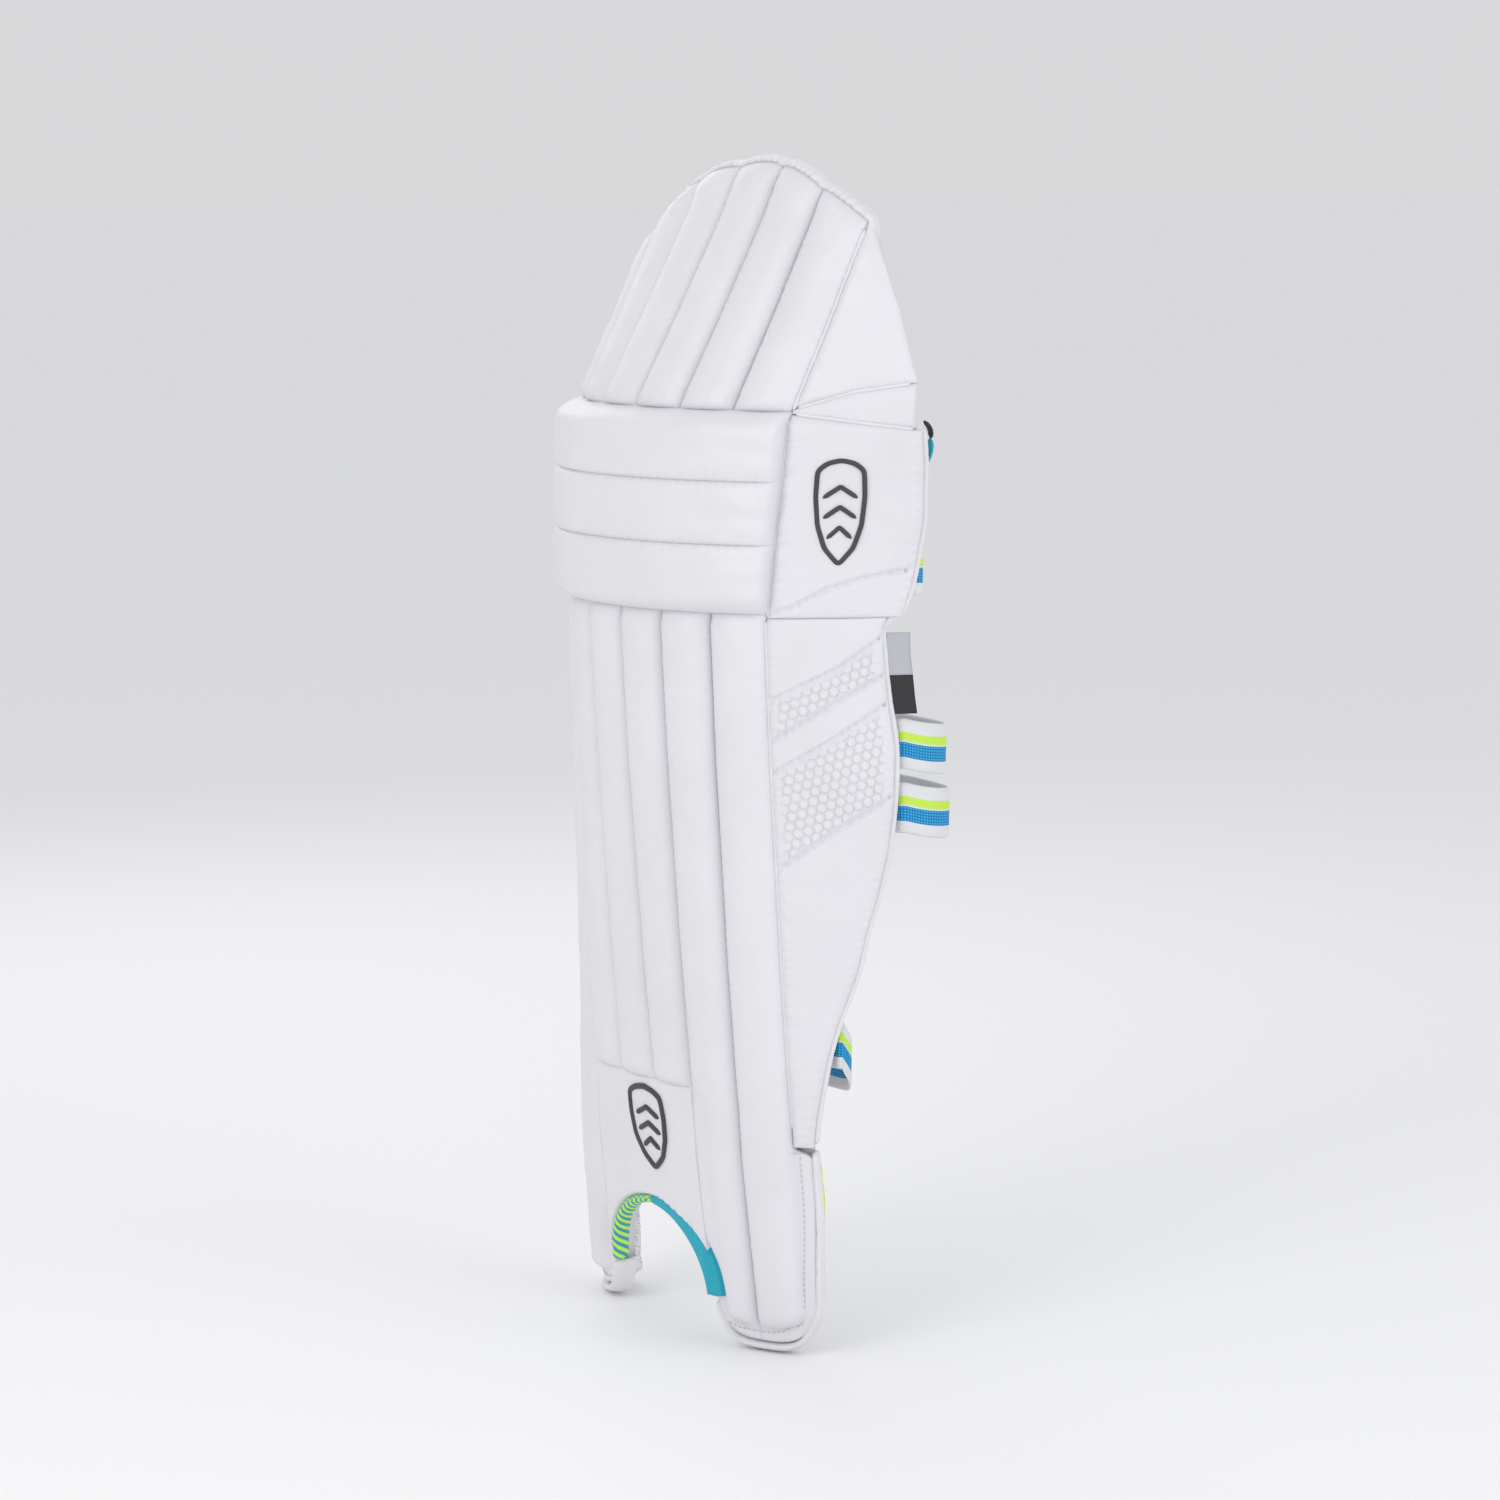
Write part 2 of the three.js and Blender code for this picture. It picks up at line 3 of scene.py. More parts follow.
import bpy
import numpy as np
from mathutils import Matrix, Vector


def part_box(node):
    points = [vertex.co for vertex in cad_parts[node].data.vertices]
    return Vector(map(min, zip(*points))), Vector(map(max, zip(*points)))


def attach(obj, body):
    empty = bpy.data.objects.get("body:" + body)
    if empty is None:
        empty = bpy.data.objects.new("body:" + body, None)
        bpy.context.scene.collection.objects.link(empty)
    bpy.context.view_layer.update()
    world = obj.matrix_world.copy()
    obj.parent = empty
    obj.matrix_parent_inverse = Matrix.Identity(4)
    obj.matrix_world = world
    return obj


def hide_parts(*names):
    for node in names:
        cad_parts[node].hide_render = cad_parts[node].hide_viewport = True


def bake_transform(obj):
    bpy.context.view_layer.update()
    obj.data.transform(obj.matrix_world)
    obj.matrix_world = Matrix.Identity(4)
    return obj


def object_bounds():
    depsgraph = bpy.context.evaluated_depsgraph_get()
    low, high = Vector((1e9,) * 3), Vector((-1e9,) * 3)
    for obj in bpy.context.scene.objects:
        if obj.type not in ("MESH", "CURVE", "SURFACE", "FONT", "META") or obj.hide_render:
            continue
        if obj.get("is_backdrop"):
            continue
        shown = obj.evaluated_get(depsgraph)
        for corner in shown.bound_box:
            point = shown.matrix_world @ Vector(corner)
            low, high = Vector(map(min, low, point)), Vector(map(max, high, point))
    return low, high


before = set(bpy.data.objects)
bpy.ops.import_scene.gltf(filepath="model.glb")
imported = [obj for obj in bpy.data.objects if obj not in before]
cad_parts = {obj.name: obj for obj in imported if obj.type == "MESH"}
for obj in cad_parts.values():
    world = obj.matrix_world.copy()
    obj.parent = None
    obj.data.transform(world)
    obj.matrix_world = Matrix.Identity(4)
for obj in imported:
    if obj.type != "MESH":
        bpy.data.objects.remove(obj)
cad_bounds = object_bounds()

# ------------------------------------------------------------------ the curved face
CENTRE = (12.55, 79.05)
FACE_Y = [[0, 45], [120, 27], [240, 15], [360, 5], [440, 0], [560, 4.5], [620, 38], [680, 70], [730, 92]]
CHANNEL_W = [[0, 33.2], [150, 35.5], [440, 34.6], [560, 38], [730, 36.7]]
FOOT_FLARE = [[0, 0.4], [60, 0.33], [100, 0.26], [130, 0.19], [200, 0.085], [298, 0]]
TURN = [
    [0, [-125, -112, -92, -42, -15, -3, 0, 4.3, 18.8, 29.5, 52, 60, 64]],
    [170, [-128, -116, -96, -45, -23, -7, 0, 6.9, 16.2, 29.9, 58, 66, 70]],
    [440, [-128, -118, -99, -52, -34, -17, 0, 10.4, 25.4, 38.5, 62, 68, 72]],
    [560, [-124, -114, -94, -52, -34, -17, 0, 11.1, 25.3, 34.3, 58, 66, 70]],
    [730, [-90, -80, -70, -50, -30, -6, 0, 9.7, 15.1, 27.7, 44, 54, 60]],
]
WING_EDGE = [
    [130, 3.9], [150, 3.98], [168, 4.11], [188, 4.26], [205, 4.43], [237, 4.83], [259, 5.01], [280, 5.23],
    [309, 5.47], [338, 5.62], [368, 5.69], [400, 5.6], [425, 5.56], [447, 5.72], [465, 5.8], [504, 5.79],
    [537, 5.68], [567, 5.5],
]
HAT_EDGE = [[3.5, 679], [3.72, 668], [4.2, 643], [4.52, 626], [4.8, 609.5], [5.06, 594], [5.24, 584.5]]
GUSSET_TOP = [[3.5, 568.5], [3.84, 573], [4.34, 579], [4.9, 582], [5.24, 583.5], [5.5, 584]]
FLAP_EDGE = [[150, -5.0], [250, -5.35], [545, -5.4]]
HAT_TOP = [
    [-3.9, 590], [-3.2, 622], [-2.5, 648], [-1.5, 678], [-0.5, 702], [0.5, 710], [1.5, 711], [2.5, 698],
    [3.5, 679]
]
KNEE_LOW, KNEE_MID_1, KNEE_MID_2, KNEE_TOP = 449.0, 490.0, 527.0, 567.0
SHIN_FOOT, ARCH_TOP, ARCH_SPRING, ARCH_HALF = 160.0, 84.0, 30.0, 1.52
LOBE_EDGE, LOBE_FOOT, SKIN, WING_THICK, FLAP_THICK = 3.87, 7.0, 8.0, 12.0, 13.0
LINING = (15.0, 21.0)
MM_PER_K = 35.0  # a channel's width along the face, near enough for margins and textures

K_STEP, Z_STEP, K_MAX = 0.02, 2.0, 6.8
ks = np.arange(-K_MAX, K_MAX + 1e-6, K_STEP)
zs = np.arange(0, 736, Z_STEP)


def tab(table, x):
    t = np.array(table, float)
    return np.interp(x, t[:, 0], t[:, 1])


levels = np.array([r[0] for r in TURN], float)
turn_by_k = np.array([np.interp(zs, levels, [r[1][j] for r in TURN]) for j in range(13)])  # 13 x nz
turn_grid = np.array(
    [np.interp(np.clip(ks, -6, 6), np.arange(-6, 7), turn_by_k[:, i]) for i in range(len(zs))]
)
turn_grid = np.radians(turn_grid)
width = (
    tab(CHANNEL_W, zs)[:, None]
    * np.where((ks[:-1] < -0.01) & (ks[:-1] > -2.21), 1 + tab(FOOT_FLARE, zs)[:, None], 1.0)
)
half_turn = (turn_grid[:, 1:] + turn_grid[:, :-1]) / 2
x_grid = np.concatenate([np.zeros((len(zs), 1)), np.cumsum(np.cos(half_turn) * width * K_STEP, 1)], 1)
y_grid = np.concatenate([np.zeros((len(zs), 1)), np.cumsum(np.sin(half_turn) * width * K_STEP, 1)], 1)
middle = len(ks) // 2
x_grid -= x_grid[:, middle : middle + 1]
y_grid -= y_grid[:, middle : middle + 1]


def sample(grid, k, z):
    u = np.clip((k + K_MAX) / K_STEP, 0, len(ks) - 1.001)
    v = np.clip(z / Z_STEP, 0, len(zs) - 1.001)
    i, j = u.astype(int), v.astype(int)
    f, g = u - i, v - j
    return (
        (grid[j, i] * (1 - f) + grid[j, i + 1] * f) * (1 - g)
        + (grid[j + 1, i] * (1 - f) + grid[j + 1, i + 1] * f) * g
    )


def P(k, z, d=0.0):
    """Row-frame points, in metres, of places (k, z, d) on the curved face."""
    k, z, d = np.broadcast_arrays(np.asarray(k, float), np.asarray(z, float), np.asarray(d, float))
    a = sample(turn_grid, k, z)
    x = sample(x_grid, k, z) + d * np.sin(a) - CENTRE[0]
    y = sample(y_grid, k, z) + tab(FACE_Y, z) - d * np.cos(a) - CENTRE[1]
    return np.stack([x, y, z], -1) / 1000


def normal(k, z):
    a = sample(turn_grid, np.asarray(k, float), np.asarray(z, float))
    return np.stack([np.sin(a), -np.cos(a), np.zeros_like(a)], -1)


def w_of(z):
    return tab(CHANNEL_W, z)


# ------------------------------------------------------------------ small helpers
def unit(v):
    return v / np.linalg.norm(v, axis=1)[:, None]


def run_length(line):
    """The distance along line at each of its points."""
    return np.concatenate([[0], np.cumsum(np.linalg.norm(np.diff(line, axis=0), axis=1))])


def unit_grid(columns, rows):
    return np.meshgrid(np.linspace(0, 1, columns), np.linspace(0, 1, rows))


def hermite(f, h, a, b, slope_a, slope_b):
    """From a to b over a step of h, f of the way, with the given slopes at its ends."""
    start = (2 * f**3 - 3 * f**2 + 1) * a + (f**3 - 2 * f**2 + f) * h * slope_a
    return start + (-2 * f**3 + 3 * f**2) * b + (f**3 - f**2) * h * slope_b


lattice = np.random.default_rng(11).random((64, 64))


def noise(x, y, seed=0):
    x, y = np.broadcast_arrays(np.asarray(x, float) + 17.3 * seed, np.asarray(y, float) + 5.7 * seed)
    i, j = np.floor(x).astype(int), np.floor(y).astype(int)
    f, g = x - i, y - j
    f, g = f * f * (3 - 2 * f), g * g * (3 - 2 * g)
    at = lambda a, b: lattice[b % 64, a % 64]
    low = at(i, j) * (1 - f) + at(i + 1, j) * f
    high = at(i, j + 1) * (1 - f) + at(i + 1, j + 1) * f
    return 2 * (low * (1 - g) + high * g) - 1


def smooth(x, a, b):
    t = np.clip((x - a) / (b - a), 0, 1)
    return t * t * (3 - 2 * t)


def dome(u, power=2.4, flat=0.6):
    """1 in the middle of a padded channel, 0 at its seams; u runs -1 to 1."""
    return np.clip(1 - np.abs(u) ** power, 0, 1) ** flat


def mesh_object(name, co, faces, material, uv=None, flat=False):
    mesh = bpy.data.meshes.new(name)
    mesh.from_pydata(np.asarray(co).reshape(-1, 3).tolist(), [], faces)
    if uv is not None:
        layer = mesh.uv_layers.new(name="UVMap")
        loops = np.zeros(len(mesh.loops), np.int32)
        mesh.loops.foreach_get("vertex_index", loops)
        layer.data.foreach_set("uv", np.asarray(uv, np.float32).reshape(-1, 2)[loops].ravel())
    mesh.polygons.foreach_set("use_smooth", [not flat] * len(mesh.polygons))
    mesh.materials.append(material)
    mesh.update()
    o = bpy.data.objects.new(f"{name}_look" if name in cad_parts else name, mesh)
    bpy.context.scene.collection.objects.link(o)
    return o


def quads(nu, nv, base=0, flip=False):
    j, i = np.meshgrid(np.arange(nv - 1), np.arange(nu - 1), indexing="ij")
    a = (base + j * nu + i).ravel()
    q = np.stack([a, a + 1, a + nu + 1, a + nu], 1)
    return (q[:, ::-1] if flip else q).tolist()


def slab(name, K, Z, outer, inner, material, flip=False):
    """A closed padded panel. K and Z are (rows, columns) grids, outer and inner depths on them."""
    nv, nu = K.shape
    outer, inner = np.broadcast_to(outer, K.shape), np.broadcast_to(inner, K.shape)
    co = np.concatenate([P(K, Z, outer).reshape(-1, 3), P(K, Z, inner).reshape(-1, 3)])
    run = np.cumsum(np.linalg.norm(np.diff(P(K, Z), axis=1), axis=2), 1)
    u = np.concatenate([np.zeros((nv, 1)), run], 1)
    uv = np.stack([u, Z / 1000], -1).reshape(-1, 2)
    n = nu * nv
    faces = quads(nu, nv, 0, flip) + quads(nu, nv, n, not flip)
    rim = [i for i in range(nu)] + [j * nu + nu - 1 for j in range(1, nv)]
    rim += [(nv - 1) * nu + i for i in range(nu - 2, -1, -1)] + [j * nu for j in range(nv - 2, 0, -1)]
    for a, b in zip(rim, rim[1:] + rim[:1]):
        faces.append([a, a + n, b + n, b] if not flip else [a, b, b + n, a + n])
    return mesh_object(name, co, faces, material, np.concatenate([uv, uv]))


def tube(name, line, across, a, b, material, section=14, ripple=None):
    """An oval bar along line (metres), with half width a (mm) along across and half height b (mm)."""
    line = np.asarray(line, float)
    run = unit(np.gradient(line, axis=0))
    across = unit(across - run * np.sum(across * run, 1)[:, None])
    up = np.cross(run, across)
    gone = run_length(line)
    t = np.linspace(0, 2 * math.pi, section, endpoint=False)
    a = np.broadcast_to(np.asarray(a, float), (len(line),)) / 1000
    b = np.broadcast_to(np.asarray(b, float), (len(line),)) / 1000
    ends = np.sqrt(np.clip(np.minimum(gone, gone[-1] - gone) / 0.0025 + 0.05, 0, 1))
    grow = np.ones((len(line), section)) if ripple is None else 1 + ripple(gone[:, None], t[None, :])
    grow = grow * ends[:, None]
    co = line[:, None] + across[:, None] * (np.cos(t)[None, :, None] * (a[:, None] * grow)[..., None])
    co = co + up[:, None] * (np.sin(t)[None, :, None] * (b[:, None] * grow)[..., None])
    faces = []
    last = (len(line) - 1) * section
    for row in range(0, last, section):
        for i in range(section):
            j = (i + 1) % section
            faces.append([row + i, row + j, row + section + j, row + section + i])
    faces.append(list(range(section))[::-1])
    faces.append([last + i for i in range(section)])
    uv = np.stack(np.broadcast_arrays(gone[:, None], (t * float(a.mean()))[None, :]), -1)
    return mesh_object(name, co, faces, material, uv)


def dense(points, step=2.5):
    """Places of a smooth curve through [k, z, d] places, about step mm apart."""
    p = np.asarray(points, float)
    s = run_length(P(p[:, 0], p[:, 1]))
    n = max(8, int(s[-1] * 1000 / step))
    t = np.linspace(0, s[-1], n)
    tangent = np.gradient(p, s, axis=0)
    i = np.clip(np.searchsorted(s, t, side="right") - 1, 0, len(s) - 2)
    h = (s[i + 1] - s[i])[:, None]
    f = ((t - s[i])[:, None]) / h
    return hermite(f, h, p[i], p[i + 1], tangent[i], tangent[i + 1])


def face_tube(name, points, a, b, material, step=2.5, **more):
    q = dense(points, step)
    return tube(name, P(q[:, 0], q[:, 1], q[:, 2]), normal(q[:, 0], q[:, 1]), a, b, material, **more)


# A stitch is a short rounded bar of thread.
ring = [(math.cos(v), math.sin(v)) for v in np.linspace(0, 2 * math.pi, 6, endpoint=False)]
stitch_co = np.array(
    [[-1, 0, 0]] + [[x, r * c, r * s] for x, r in ((-0.72, 0.8), (0, 1), (0.72, 0.8)) for c, s in ring]
    + [[1, 0, 0]]
)
stitch_faces = [[0, 1 + (i + 1) % 6, 1 + i] for i in range(6)]
for level in range(2):
    b0 = 1 + 6 * level
    stitch_faces += [[b0 + i, b0 + (i + 1) % 6, b0 + 6 + (i + 1) % 6, b0 + 6 + i] for i in range(6)]
stitch_faces += [[19, 13 + i, 13 + (i + 1) % 6] for i in range(6)]


def points_at(at, gone, line):
    return np.stack([np.interp(at, gone, line[:, i]) for i in range(3)], 1)


def stitches(name, lines, material, pitch=3.6, long=1.25, wide=0.42):
    """Rows of stitches along lines of [k, z, d] places, as one mesh."""
    rows = []
    for line in lines:
        q = dense(line, 1.0)
        pos = P(q[:, 0], q[:, 1], q[:, 2])
        s = run_length(pos) * 1000
        at = np.arange(pitch / 2, s[-1], pitch)
        back, here, ahead = (points_at(at + shift, s, pos) for shift in (-0.6, 0, 0.6))
        kk, zz = np.interp(at, s, q[:, 0]), np.interp(at, s, q[:, 1])
        run = ahead - back
        run /= np.linalg.norm(run, axis=1)[:, None] + 1e-12
        n = normal(kk, zz)
        n = unit(n - run * np.sum(n * run, 1)[:, None])
        side = np.cross(n, run)
        wobble = 0.12 * noise(at * 0.9, kk * 9, 3)
        run = run + side * wobble[:, None]
        axes = ((run, long), (side, wide), (n, wide * 0.8))
        spread = sum(
            axis[:, None] * stitch_co[None, :, i : i + 1] * size for i, (axis, size) in enumerate(axes)
        )
        rows.append((here[:, None] + spread / 1000).reshape(-1, 3))
    co = np.concatenate(rows)
    starts = range(0, len(co), len(stitch_co))
    faces = [[start + v for v in face] for start in starts for face in stitch_faces]
    return mesh_object(name, co, faces, material)


def on(obj, body, slot_name, *nodes, fill=None, bend=None):
    """Attach a finished piece to its body, or, when a bend is given, only bake its transform in place; hide
    the CAD nodes it stands for. The slot name is not used.
    """
    if nodes:
        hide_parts(*nodes)
    if bend:
        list(bend)
        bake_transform(obj)
    else:
        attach(obj, body)
    return obj


# ------------------------------------------------------------------ materials
def material(name, colour, rough, build=None, **sockets):
    m = bpy.data.materials.new(name)
    m.use_nodes = True
    bsdf = m.node_tree.nodes["Principled BSDF"]
    bsdf.inputs["Base Color"].default_value = (*colour, 1)
    bsdf.inputs["Roughness"].default_value = rough
    for key, value in sockets.items():
        bsdf.inputs[key.replace("_", " ")].default_value = value
    if build:
        build(m.node_tree, bsdf)
    return m


def node(tree, kind, **values):
    n = tree.nodes.new(kind)
    for key, value in values.items():
        if key in n.inputs:
            n.inputs[key].default_value = value
        else:
            setattr(n, key, value)
    return n


def link(tree, a, b):
    tree.links.new(a, b)


def maths(tree, operation, a, b=None, c=None):
    n = tree.nodes.new("ShaderNodeMath")
    n.operation = operation
    for i, v in enumerate((a, b, c)):
        if v is None:
            continue
        if isinstance(v, (int, float)):
            n.inputs[i].default_value = v
        else:
            tree.links.new(v, n.inputs[i])
    return n.outputs[0]


def mix(tree, factor, a, b):
    n = tree.nodes.new("ShaderNodeMix")
    n.data_type = "RGBA"
    for i, v in ((0, factor), (6, a), (7, b)):
        if hasattr(v, "links"):
            tree.links.new(v, n.inputs[i])
        elif i == 0:
            n.inputs[0].default_value = v
        else:
            n.inputs[i].default_value = (*v, 1)
    return n.outputs[2]


def bump(tree, bsdf, height, strength, distance):
    n = node(tree, "ShaderNodeBump", Strength=strength, Distance=distance)
    link(tree, height, n.inputs["Height"])
    link(tree, n.outputs["Normal"], bsdf.inputs["Normal"])


def ramp(tree, value, low, high, top=1.0):
    """0 up to low and top from high on."""
    n = node(tree, "ShaderNodeMapRange", **{"From Min": low, "From Max": high, "To Max": top})
    link(tree, value, n.inputs["Value"])
    return n.outputs["Result"]


def texture(tree, kind, co, **values):
    n = node(tree, f"ShaderNodeTex{kind}", **values)
    link(tree, co, n.inputs["Vector"])
    return n


def wave(tree, along, pitch):
    return maths(tree, "SINE", maths(tree, "MULTIPLY", along, 2 * math.pi / pitch))


def split_uv(tree):
    n = node(tree, "ShaderNodeSeparateXYZ")
    link(tree, node(tree, "ShaderNodeTexCoord").outputs["UV"], n.inputs[0])
    return n.outputs["X"], n.outputs["Y"]


def leather(base, dirt_and_shade, grain=0.35, rough=0.42, scale=1.0):
    """Coated synthetic leather: pebbled grain, faint creases, slight soiling in random spots, painted shade
    from ambient occlusion darkening its creases and seams, and uneven gloss.
    """

    def build(tree, bsdf):
        co = node(tree, "ShaderNodeTexCoord").outputs["Object"]
        cells = texture(tree, "Voronoi", co, Scale=1150.0 * scale, feature="SMOOTH_F1")
        fine = texture(tree, "Noise", co, Scale=420.0 * scale, Detail=4.0, Roughness=0.6)
        broad = texture(tree, "Noise", co, Scale=16.0, Detail=4.0, Roughness=0.55)
        crease = texture(tree, "Noise", co, Scale=70.0, Detail=5.0, Roughness=0.6, Distortion=0.6)
        grains = maths(tree, "MULTIPLY", fine.outputs["Fac"], 0.5)
        grains = maths(tree, "MULTIPLY_ADD", cells.outputs["Distance"], 0.6, grains)
        bump(tree, bsdf, maths(tree, "MULTIPLY_ADD", crease.outputs["Fac"], 1.6, grains), grain, 0.00045)
        spots = ramp(tree, broad.outputs["Fac"], 0.42, 0.78, 0.55)
        # Painted shade: ambient occlusion darkens the colour towards the dirt colour in creases, seams and
        # recesses. The broad spots above are random soiling.
        ao = node(tree, "ShaderNodeAmbientOcclusion", Distance=0.012, samples=6)
        ao_painted_shade = maths(tree, "MULTIPLY", maths(tree, "SUBTRACT", 1.0, ao.outputs["AO"]), 0.22)
        dirt_and_shade_amount = maths(tree, "MINIMUM", maths(tree, "MULTIPLY_ADD", spots, 0.35, ao_painted_shade), 1.0)
        link(tree, mix(tree, dirt_and_shade_amount, base, dirt_and_shade), bsdf.inputs["Base Color"])
        gloss = maths(tree, "MULTIPLY_ADD", crease.outputs["Fac"], 0.22, rough - 0.1)
        link(tree, gloss, bsdf.inputs["Roughness"])

    return build


def woven(base, other, pitch=0.0009, depth=0.5, rough=0.85):
    """A plain weave in UV space, in metres."""

    def build(tree, bsdf):
        u, v = split_uv(tree)
        h = maths(tree, "MULTIPLY", wave(tree, u, pitch), wave(tree, v, pitch))
        bump(tree, bsdf, h, depth, 0.0003)
        fuzz = node(tree, "ShaderNodeTexNoise", Scale=300.0, Detail=3.0)
        f = maths(tree, "MULTIPLY_ADD", h, 0.25, maths(tree, "MULTIPLY", fuzz.outputs["Fac"], 0.7))
        link(tree, mix(tree, f, base, other), bsdf.inputs["Base Color"])
        bsdf.inputs["Roughness"].default_value = rough

    return build


def spacer_mesh(tree, bsdf):
    """Open lining mesh over a darker ground."""
    co = node(tree, "ShaderNodeTexCoord").outputs["Object"]
    cells = texture(tree, "Voronoi", co, Scale=480.0, Randomness=0.6, feature="F1")
    hole = ramp(tree, cells.outputs["Distance"], 0.22, 0.38)
    link(tree, mix(tree, hole, (0.58, 0.58, 0.60), (0.80, 0.80, 0.83)), bsdf.inputs["Base Color"])
    bump(tree, bsdf, hole, 0.7, 0.0006)


def webbing(tree, bsdf):
    """Webbing striped white, blue, white, lime, white from its lower edge up; UV y runs 0 to 30 mm."""
    u, v = split_uv(tree)

    def band(low, high):
        return maths(
            tree, "MULTIPLY", maths(tree, "GREATER_THAN", v, low), maths(tree, "LESS_THAN", v, high)
        )

    diagonal = wave(tree, maths(tree, "ADD", u, v), 0.0034)
    counter = wave(tree, maths(tree, "SUBTRACT", u, v), 0.0034)
    check = maths(tree, "GREATER_THAN", maths(tree, "MULTIPLY", diagonal, counter), 0.28)
    blue = mix(tree, check, (0.002, 0.22, 0.56), (0.06, 0.52, 0.80))
    colour = mix(tree, band(0.0073, 0.0162), (0.82, 0.83, 0.85), blue)
    colour = mix(tree, band(0.0171, 0.0222), colour, (0.62, 0.93, 0.10))
    rib = wave(tree, u, 0.0011)
    crossed = maths(tree, "MULTIPLY", rib, wave(tree, v, 0.0012))
    h = maths(tree, "MULTIPLY_ADD", rib, 0.6, maths(tree, "MULTIPLY", crossed, 0.6))
    shade = maths(tree, "MULTIPLY_ADD", h, 0.06, 0.94)
    dark = node(tree, "ShaderNodeHueSaturation")
    link(tree, colour, dark.inputs["Color"])
    link(tree, shade, dark.inputs["Value"])
    link(tree, dark.outputs["Color"], bsdf.inputs["Base Color"])
    bump(tree, bsdf, h, 0.55, 0.00025)


def striped(tree, bsdf):
    """Binding with slanted teal and lime stripes, in UV space along the binding."""
    u, v = split_uv(tree)
    slant = maths(tree, "ADD", u, maths(tree, "MULTIPLY", v, 0.7))
    lime = ramp(tree, wave(tree, slant, 0.0062), -0.15, 0.15)
    link(tree, mix(tree, lime, (0.01, 0.38, 0.48), (0.62, 0.90, 0.10)), bsdf.inputs["Base Color"])
    bump(tree, bsdf, wave(tree, u, 0.0009), 0.4, 0.0002)


WHITE = (0.775, 0.765, 0.80)
# Colour the leather is mixed towards, both for random soiling and for painted shade in its creases and
# seams.
DIRT_AND_SHADE_COLOUR = (0.60, 0.58, 0.60)
M_LEATHER = material("pad_leather", WHITE, 0.4, leather(WHITE, DIRT_AND_SHADE_COLOUR))
WING_WHITE, PIPE_WHITE = (0.765, 0.755, 0.79), (0.79, 0.78, 0.81)
M_SOFT = material("wing_leather", WING_WHITE, 0.45, leather(WING_WHITE, DIRT_AND_SHADE_COLOUR, 0.42, 0.46, 0.9))
M_PIPE = material("piping_leather", PIPE_WHITE, 0.38, leather(PIPE_WHITE, DIRT_AND_SHADE_COLOUR, 0.3, 0.4, 1.2))
M_MESH = material("lining_mesh", (0.6, 0.6, 0.63), 0.9, spacer_mesh)
M_CLOTH = material("bolster_cloth", (0.78, 0.78, 0.81), 0.85, woven((0.79, 0.79, 0.82), (0.68, 0.68, 0.71)))
M_THREAD = material("white_thread", (0.60, 0.60, 0.64), 0.55)
M_TEAL = material(
    "teal_binding", (0.01, 0.41, 0.54), 0.5,
    woven((0.006, 0.37, 0.50), (0.015, 0.48, 0.60), 0.0008, 0.35, 0.55)
)
M_LIME = material(
    "lime_tape", (0.70, 0.95, 0.12), 0.6, woven((0.66, 0.93, 0.10), (0.74, 0.97, 0.20), 0.0009, 0.3, 0.6)
)
M_STRIPE = material("striped_binding", (0.4, 0.7, 0.4), 0.5, striped)
M_WEB = material("strap_webbing", (0.8, 0.8, 0.82), 0.8, webbing)
M_HOOK = material(
    "hook_tape", (0.03, 0.032, 0.036), 0.95,
    woven((0.025, 0.027, 0.03), (0.06, 0.062, 0.066), 0.0013, 1.0, 0.95)
)
M_RUBBER = material(
    "badge_rubber", (0.048, 0.052, 0.06), 0.5,
    leather((0.045, 0.049, 0.056), (0.09, 0.09, 0.095), 0.2, 0.5, 0.7)
)
M_TAG = material(
    "tag_silver", (0.50, 0.51, 0.56), 0.5, woven((0.56, 0.57, 0.62), (0.42, 0.43, 0.47), 0.0006, 0.4, 0.5)
)
M_TAG_DARK = material(
    "tag_dark", (0.02, 0.02, 0.024), 0.6,
    woven((0.018, 0.018, 0.022), (0.035, 0.035, 0.04), 0.0006, 0.4, 0.6)
)
M_CANE = material(
    "cane", (0.50, 0.33, 0.14), 0.6, woven((0.52, 0.35, 0.15), (0.40, 0.25, 0.09), 0.004, 0.3, 0.6)
)

fine = 1  # coarser grids while trying things


def grid(k0, k1, z0, z1, dk_mm=1.6, dz_mm=1.8):
    nu = max(8, int(abs(k1 - k0) * MM_PER_K / (dk_mm * fine)))
    nv = max(8, int(abs(z1 - z0) / (dz_mm * fine)))
    s, t = np.meshgrid(np.linspace(0, 1, nu), np.linspace(0, 1, nv))
    return s, t


# ------------------------------------------------------------------ surface of the channels
def pucker(u, along, seam_mm, seed):
    """Little gathers where the stitching pulls the cover in; u is the distance from the seam in mm."""
    wave = np.sin(along * 2 * math.pi / 5.6 + 4.5 * noise(along / 13, seed * 3.1, seed))
    return 0.42 * np.exp(-np.abs(u) / seam_mm) * wave


def channel_depth(k, z, bulge, low=-0.9, seed=0):
    c = np.round(k)
    u = 2 * (k - c)
    gap = (1 - np.abs(u)) * w_of(z) / 2
    d = low + (bulge - low) * dome(u, 2.3, 0.62)
    d = d + pucker(gap, z, 3.2, seed + c.mean())
    d = (
        d + 0.35 * noise(k * 2.3, z / 19, seed) * dome(u)
        + 0.22 * noise(k * 5.1, z / 7.5, seed + 1) * dome(u)
    )
    return d


def drawn_in(D, low, *ends):
    """Depth D brought down to low wherever one of ends is 0."""
    return low + (D - low) * np.prod(np.broadcast_arrays(*ends), 0)


